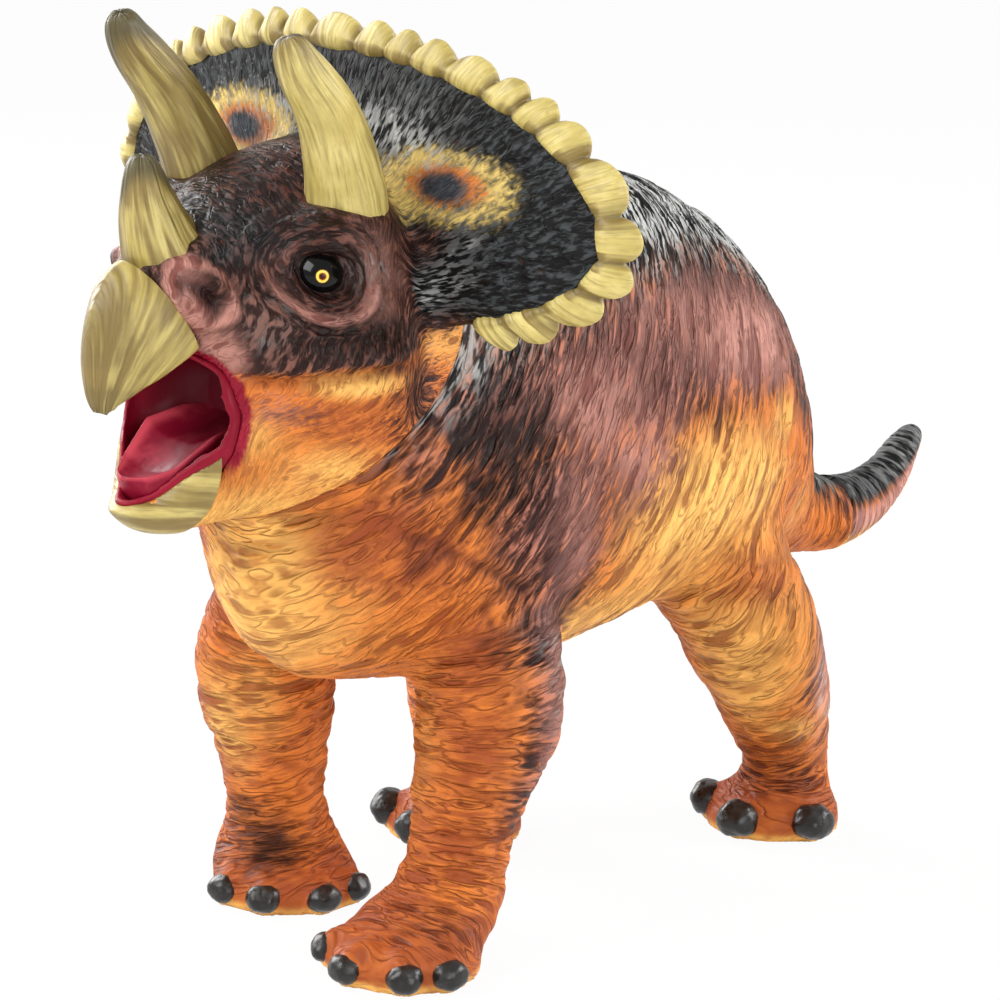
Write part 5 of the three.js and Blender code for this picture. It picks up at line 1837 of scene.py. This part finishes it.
    def tongue(self) -> Patch:
        """A broad cupped tongue.

        Along it the level falls and the width swells and closes. Across it the top is raised at the rim by
        the square of the distance from the middle, and the underside is a flat bow.

        Returns:
            The patch in the figure's frame.
        """
        rings, sides = 80, 64
        way = np.linspace(0, 1, rings)[:, None]
        angle = np.linspace(0, 2 * math.pi, sides, endpoint=False)[None, :]
        across = np.cos(angle)
        steps = [0.0, 0.2, 0.5, 0.76, 0.92, 1.0]
        half = 12.0 * np.interp(way, steps, [0.55, 0.82, 0.9, 0.7, 0.42, 0.1])
        level = -23.5 * np.interp(way, steps, [0.16, 0.17, 0.25, 0.5, 0.59, 0.61])
        cup = 3.0 * np.sin(math.pi * np.clip(way * 1.02, 0, 1)) ** 0.6
        top = level - cup * (1 - np.abs(across) ** 2.4)
        low = level - 5.6 * np.sqrt(np.clip(1 - across**2, 0, 1)) * ease(0, 0.12, 1 - way) - 1.0
        up = np.sin(angle) >= 0
        x = half * across
        z = np.where(up, top, low)
        y = -22.0 - 28.0 * way * np.ones_like(angle)
        patch = smoothed(tube(np.stack([x, y, z], axis=-1)), 3, 0.4)
        # A painted highlight along the tongue's raised rim, and painted shade down its middle towards the throat.
        rim = (up * bump(np.abs(across), 0.92, 0.12) * ease(0.1, 0.4, way)).ravel()
        deep = (up * (1 - np.abs(across)) * ease(0.75, 0.2, way)).ravel()
        patch.marks = {"rim": np.append(rim, [0, 0.6]), "cavity_shade": np.append(0.85 * deep, [0.6, 0])}
        return JOINTS.from_head(patch)

    def eye(self, side: int) -> Patch:
        """An eyeball with a slight swelling over the iris, and the angle from its gaze as a mark.

        Args:
            side: 1 for the left eye, -1 for the right one.

        Returns:
            The patch in the figure's frame.
        """
        centre = np.array(self.head.eye) * np.array([side, 1, 1])
        patch = egg((1, 1, 1), ORIGIN, 0.0, 56, 64)
        gaze = unit(np.array([side * 0.83, -0.54, 0.07]))
        turn = np.arccos(np.clip(unit(patch.points) @ gaze, -1, 1))
        patch.points = patch.points * (self.eye_radius + 0.35 * bump(turn, 0.0, 0.45))[:, None] + centre
        patch.marks = {"gaze": np.clip(turn / self.iris, 0, 1)}
        return JOINTS.from_head(patch)

    def edging(self) -> Patch:
        """The scalloped edging.

        Round the frill's rim runs a band whose reach and thickness swell with the sine of the place along
        it, raised to a small power so that neighbours meet in sharp clefts. It is thinner outwards, and the
        shells low down are pointed and ribbed across.

        Returns:
            The patch in the figure's frame.
        """
        steps, sides = self.scallops * 20, 28
        fine = np.radians(np.linspace(self.edging_start, 180 - self.edging_start, 2000))
        rim = self.head.frill_point(fine, np.ones_like(fine))
        length = np.concatenate([[0], np.cumsum(np.linalg.norm(np.diff(rim, axis=0), axis=1))])
        way = np.linspace(0, 1, steps + 1)
        angle = np.interp(way * length[-1], length, fine)[:, None]
        turns = 2 * math.pi * way
        phase = way * self.scallops + 0.16 * np.sin(7 * turns) + 0.1 * np.sin(3 * turns)
        swell = (np.abs(np.sin(math.pi * phase)) ** 0.5)[:, None]
        number = np.floor(np.clip(phase, 0, self.scallops - 0.01))[:, None]
        odd = np.sin(number * 12.9898) * 0.5
        top = bump(way, 0.5, 0.22)[:, None]
        swell = swell * (1 + 0.25 * odd)
        low = np.maximum(ease(0.16, 0.02, way), ease(0.84, 0.98, way))[:, None]
        around = np.linspace(0, 2 * math.pi, sides, endpoint=False)[None, :]
        ribs = 0.3 * low * np.cos(phase[:, None] * 2 * math.pi * 4) * swell
        reach = 1.5 + (4.3 + 0.4 * odd) * swell - 0.9 * top * (1 - swell)
        inner = 1.9 + 0.9 * swell
        half = 2.3 + 0.95 * swell - 0.5 * low * swell + ribs
        outer = np.clip(np.cos(around), 0, 1)
        out = np.where(np.cos(around) > 0, reach, inner) * np.cos(around)
        across = half * np.sin(around) * (1 - 0.35 * outer**1.5)
        points = self.head.frill_point(np.broadcast_to(angle, out.shape), np.ones_like(out), out)
        points[..., 1] += across
        patch = tube(points)
        place_along = np.broadcast_to((way * length[-1])[:, None], out.shape).ravel()
        # The clefts between the scallops and the band's inner side against the frill darken: painted shade, with a
        # random tone for each scallop.
        inside = 0.35 * (np.cos(around) < 0)
        olive = np.clip((1 - swell) ** 1.2 + inside + 0.22 + 0.3 * odd, 0, 1)
        patch.marks = {"across": np.append(place_along, [0.0, length[-1]]) / METRE,
                       "olive": np.append(olive.ravel(), [0.5, 0.5])}
        grain = Grain(SHARED_SEED + 4)
        patch = raised(patch, 0.12 * grain.at(patch.points / 1.7) + 0.2 * grain.at(patch.points / 4.0))
        return JOINTS.from_head(patch)

    def claw(self, foot: Array, leg: Leg, bearing: float) -> Patch:
        """A blunt domed claw, flatter in front and underneath, with small dents.

        Args:
            foot: Middle of the sole.
            leg: The leg that it is on.
            bearing: Degrees from straight ahead to the claw, leftwards.

        Returns:
            The patch in the figure's frame.
        """
        share = self.fore_share if leg.name.startswith("front") else 1.0
        patch = egg((1, 1, 1), ORIGIN, 0.0, 30, 36)
        x, y, z = patch.points.T
        blunt = np.sign(y) * np.abs(y) ** 0.85
        wide, deep, high = (share * value for value in self.claw_half)
        dome = np.stack([wide * np.sign(x) * np.abs(x) ** 0.92 * (1 - 0.10 * np.clip(z, 0, 1)),
                         deep * blunt * (1 - 0.12 * np.clip(z, 0, 1)), high * z], axis=1)
        dents = Grain(SHARED_SEED + 5)
        dome = dome * (1 + 0.10 * dents.at(dome / 3.0 + bearing) + 0.03 * dents.at(dome / 1.1 + bearing))[:, None]
        angle = math.radians(bearing)
        spot = np.array([foot[0] + math.sin(angle) * leg.foot_radius, foot[1] - math.cos(angle) * leg.foot_radius,
                         self.floor_gap + high])
        patch.points = turned_z(dome, bearing) + spot
        patch.points[:, 2] = np.maximum(patch.points[:, 2], self.floor_gap)
        # A painted highlight that grows towards the claw's top; no painted shade.
        patch.marks = {"rim": np.clip(0.25 * z, 0, 1), "cavity_shade": np.zeros(len(x))}
        return patch


@dataclass
class Tail:
    """The tail casting: a curled cone with ringed ridges."""

    length: float = 36.8
    curl: float = 16.0
    sway: float = 2.0
    radius: float = 9.2
    tip: float = 2.6
    ridges: int = 15

    def build(self) -> Patch:
        """The tail's skin.

        A cone is swept along a curled path, its radius falling by the 1.25th power of the way. The ridges
        are a rounded saw of the way along, deeper on top, and the tip is rounded off.

        Returns:
            The painted patch in the figure's frame.
        """
        shares = [(0, 0, 0), (0, 0.22, 0), (0.3, 0.45, 0.1), (0.6, 0.68, 0.35), (0.8, 0.87, 0.75), (1, 1, 1)]
        knots = np.array([(self.sway * a, self.length * b, self.curl * c) for a, b, c in shares])
        knots[0, 1] = JOINTS.seam_gap + 0.2
        rings, sides = 260, 96
        path = smooth_rows(knots, rings)
        way = np.linspace(0, 1, rings)
        angle = np.linspace(0, 2 * math.pi, sides, endpoint=False)
        taper = (self.radius + (self.tip - self.radius) * way**1.25) * np.sqrt(np.clip(1 - way**14, 0.03, 1))
        grain = Grain(SHARED_SEED + 6)
        level, upward = np.cos(angle)[None, :], np.sin(angle)[None, :]
        spot = np.stack(np.broadcast_arrays(level * 2, way[:, None] * 9, upward * 2), axis=-1).reshape(-1, 3)
        wander = grain.at(spot).reshape(rings, sides) * 0.35
        saw = np.abs(np.sin(math.pi * (self.ridges * way[:, None] + wander))) ** 0.6
        depth = (0.35 + 0.55 * np.clip(upward, 0, 1)) * ease(0.03, 0.1, way)[:, None] * (1 - 0.6 * way[:, None])
        radii = taper[:, None] + depth * (saw - 1.0)
        ahead = unit(np.gradient(path, axis=0))
        side = np.array([1.0, 0.0, 0.0])
        top = unit(np.cross(side, ahead))
        patch = tube(path[:, None] + (radii * level)[..., None] * side + (radii * upward)[..., None] * top[:, None])
        up = np.broadcast_to(upward, (rings, sides)).ravel()
        dark = ease(-0.1, 0.65, up + 0.9 * np.repeat(ease(0.55, 1.0, way), sides))
        pink = bump(up, -0.15, 0.45) * (1 - np.repeat(ease(0.7, 1.0, way), sides))
        yellow = ease(0.1, -0.5, up)
        # Creases between the ridges darken: painted shade in plum, ember and a crease mark.
        crease = ((1 - saw) * (depth > 0.02)).ravel()
        ends = [0.0, 1.0]
        # Pale dry brush and painted sheen lie over the dark top.
        patch.marks = {"char": np.append(dark, ends), "plum": np.append(0.7 * pink + 0.3 * crease, ends),
                       "rose": np.append(0.95 * pink, [0, 0]), "yellow": np.append(yellow, [0, 0]),
                       "ember": np.append(0.4 * crease * (1 - dark), [0, 0]), "drybrush_and_sheen": np.append(0.35 * dark, ends),
                       "across": np.append(np.repeat(way * self.length, sides), [0, self.length]) / METRE,
                       "valley_shade": np.append(0.7 * crease, [0, 0]), "calm": np.full(len(patch.points), 0.3)}
        patch.blank("spot_ring", "spot_core", "spot_eye", "cavity_shade", "across_limb", "limb", "murk", "lip")
        patch.points = patch.points + np.array(JOINTS.tail)
        return patch


@dataclass
class Studio:
    """Camera at the photograph's angle, soft lamps, and a pale floor and backdrop."""

    azimuth: float = 37.7
    height: float = 12.8
    roll: float = 1.9
    distance: float = 706.7
    focal_pixels: float = 3699.4
    target: tuple[float, float, float] = (58.4, -16.3, 105.9)
    sensor: float = 36.0
    picture: float = 1000.0
    aim: tuple[float, float, float] = (0.0, 0.0, 0.09)
    lamps: tuple[tuple[str, tuple[float, float, float], float, float], ...] = (
        ("key", (-0.45, -0.9, 0.8), 0.7, 10.5),
        ("fill", (1.25, -0.5, 0.5), 0.8, 7.5),
        ("rim", (0.9, 0.9, 0.7), 0.7, 13.0),
        ("rim_other", (-1.0, 0.1, 0.5), 0.7, 11.0),
    )
    sky: float = 0.58
    floor_share: float = 0.95
    reach: float = 3.0
    wall_distance: float = 2.9

    def camera(self) -> None:
        """Puts the camera in place and makes it the scene's."""
        a, e, r = (math.radians(value) for value in (self.azimuth, self.height, self.roll))
        back = np.array([math.sin(a) * math.cos(e), -math.cos(a) * math.cos(e), math.sin(e)])
        right = np.array([math.cos(a), math.sin(a), 0.0])
        up = np.cross(back, right)
        right, up = right * math.cos(r) + up * math.sin(r), up * math.cos(r) - right * math.sin(r)
        data = bpy.data.cameras.new("camera")
        data.sensor_width = self.sensor
        data.lens = self.focal_pixels * self.sensor / self.picture
        data.clip_start, data.clip_end = 0.01, 20.0
        made = bpy.data.objects.new("camera", data)
        spot = (np.array(self.target) + SHIFT + back * self.distance) / METRE
        made.matrix_world = Matrix([*np.column_stack([right, up, back, spot]).tolist(), [0, 0, 0, 1]])
        bpy.context.scene.collection.objects.link(made)
        bpy.context.scene.camera = made

    def lamp(self, name: str, spot: tuple[float, float, float], size: float, power: float) -> None:
        """A square soft lamp that looks at the middle of the figure.

        Args:
            name: Its name.
            spot: Where it stands, in metres.
            size: Its side in metres.
            power: Its power in watts.
        """
        data = bpy.data.lights.new(name, "AREA")
        data.size, data.energy = size, power
        made = bpy.data.objects.new(name, data)
        made.location = spot
        made.rotation_euler = (Vector(self.aim) - Vector(spot)).to_track_quat("-Z", "Y").to_euler()
        bpy.context.scene.collection.objects.link(made)

    @staticmethod
    def seen_white(name: str, share: float) -> bpy.types.Material:
        """A pale surface that the camera, reflections and clear things see nearly white.

        Args:
            name: The material's name.
            share: How far it is seen as plain white.

        Returns:
            The material.
        """
        made = Finish(name)
        made.put(Base_Color=(0.86, 0.86, 0.86, 1.0), Roughness=0.9)
        nodes = made.nodes
        path = nodes.add("ShaderNodeLightPath").outputs
        seen = nodes.most(nodes.most(path["Is Camera Ray"], path["Is Glossy Ray"]), path["Is Transmission Ray"])
        glow = nodes.add("ShaderNodeEmission")
        glow.inputs["Color"].default_value = (1.0, 1.0, 1.0, 1.0)
        mixed = nodes.add("ShaderNodeMixShader")
        nodes.link(nodes.times(seen, share), mixed.inputs["Fac"])
        nodes.link(made.shader.outputs[0], mixed.inputs[1])
        nodes.link(glow.outputs[0], mixed.inputs[2])
        nodes.link(mixed.outputs[0], nodes.tree.nodes["Material Output"].inputs["Surface"])
        return made.material

    def screen(self, name: str, corners: Array, share: float) -> bpy.types.Object:
        """A plain pale sheet with its corners in metres."""
        made = Blender.object(name, Patch(corners * METRE, [(0, 1, 2, 3)]))
        made.data.materials.append(self.seen_white(name, share))
        return made

    def build(self) -> None:
        """Lamps, world, floor and backdrop."""
        world = bpy.data.worlds.new("studio")
        world.use_nodes = True
        bpy.context.scene.world = world
        world.node_tree.nodes["Background"].inputs["Color"].default_value = (1.0, 1.0, 1.0, 1.0)
        world.node_tree.nodes["Background"].inputs["Strength"].default_value = self.sky
        for lamp in self.lamps:
            self.lamp(*lamp)
        floor = self.screen("floor", np.array([[-1, -1, 0], [1, -1, 0], [1, 1, 0], [-1, 1, 0]]) * self.reach,
                            self.floor_share)
        turn = math.radians(self.azimuth)
        away, aside = np.array([-math.sin(turn), math.cos(turn), 0.0]), np.array([math.cos(turn), math.sin(turn), 0.0])
        corners = [away * self.wall_distance + (aside * across + np.array([0.0, 0.0, up])) * self.reach
                   for across, up in ((-1, 0), (1, 0), (1, 1), (-1, 1))]
        self.screen("backdrop", np.array(corners), 1.0)
        bpy.context.scene.view_settings.view_transform = "Standard"


def main() -> None:
    """Builds the figure piece by piece, and the studio round it."""
    logging.basicConfig(level=logging.INFO, format="%(message)s")
    Studio().camera()
    effects = Effects()
    skin = PaintedVinyl("painted vinyl").material(effects)
    face = PaintedVinyl("painted vinyl of the head", fold_spacing=0.0018, fold_length=0.0055, hair_spacing=0.0008,
                        hair_length=0.003, fold_height=0.0004, hair_height=0.0002, roughness=0.42,
                        plum=colour(50, 29, 24), plum_light=colour(116, 78, 68)).material(effects)
    horn = HornVinyl("horn vinyl").material(effects)
    # The third colour of each gloss paint is painted shade for hollows, and its second also paints the highlight on
    # rims.
    mouth = GlossPaint("mouth gloss", colour(128, 12, 36), colour(160, 28, 50), colour(98, 8, 28), 0.45)
    flesh = GlossPaint("tongue gloss", colour(128, 14, 40), colour(196, 70, 84), colour(88, 8, 26), 0.42)
    claw = GlossPaint("claw gloss", colour(22, 20, 19), colour(52, 48, 44), colour(8, 8, 8), 0.36, scale=500.0,
                      coat=0.15, shine=0.4).material(effects)
    wet = EyeGloss("eye gloss").material()

    trunk, head, tail = Trunk(), Head(), Tail()
    place("body_skin", trunk.build(head.neck_forms()), Body.TRUNK, "body_vinyl", ["body_shell"], skin)
    place("tail_skin", tail.build(), Body.TAIL, "tail_vinyl", ["tail_shell"], skin)
    place("head_skin", head.build(loft(trunk.torso_ribs(), 150, 150)), Body.HEAD, "head_vinyl", ["head_shell"], face)
    fittings = Fittings(head)
    pieces = [
        ("frill_scallops", fittings.edging(), "horn_vinyl", "frill_edging", horn),
        ("left_brow_horn", fittings.brow_horn(1), "horn_vinyl", "brow_horn_left", horn),
        ("right_brow_horn", fittings.brow_horn(-1), "horn_vinyl", "brow_horn_right", horn),
        ("snout_horn", fittings.nose_horn(), "horn_vinyl", "nose_horn", horn),
        ("beak_over", fittings.upper_beak(), "horn_vinyl", "upper_beak", horn),
        ("beak_under", fittings.lower_beak(), "horn_vinyl", "lower_beak", horn),
        ("mouth_walls", fittings.lining(), "mouth_vinyl", "mouth_lining", mouth.material(effects)),
        ("tongue_pad", fittings.tongue(), "tongue_vinyl", "tongue", flesh.material(effects)),
        ("left_eye", fittings.eye(1), "eye_gloss", "eye_left", wet),
        ("right_eye", fittings.eye(-1), "eye_gloss", "eye_right", wet),
    ]
    for name, patch, slot, node, finish in pieces:
        place(name, patch, Body.HEAD, slot, [node], finish)
    for leg in trunk.legs():
        foot = trunk.leg_path(leg)[-1]
        for count, bearing in enumerate(leg.claws, start=1):
            place(f"{leg.name}_claw_{count}", fittings.claw(foot, leg, bearing), Body.TRUNK,
                  "claw_gloss", [f"claw_{leg.name}_{count}"], claw)
    Studio().build()


if __name__ == "__main__":
    main()
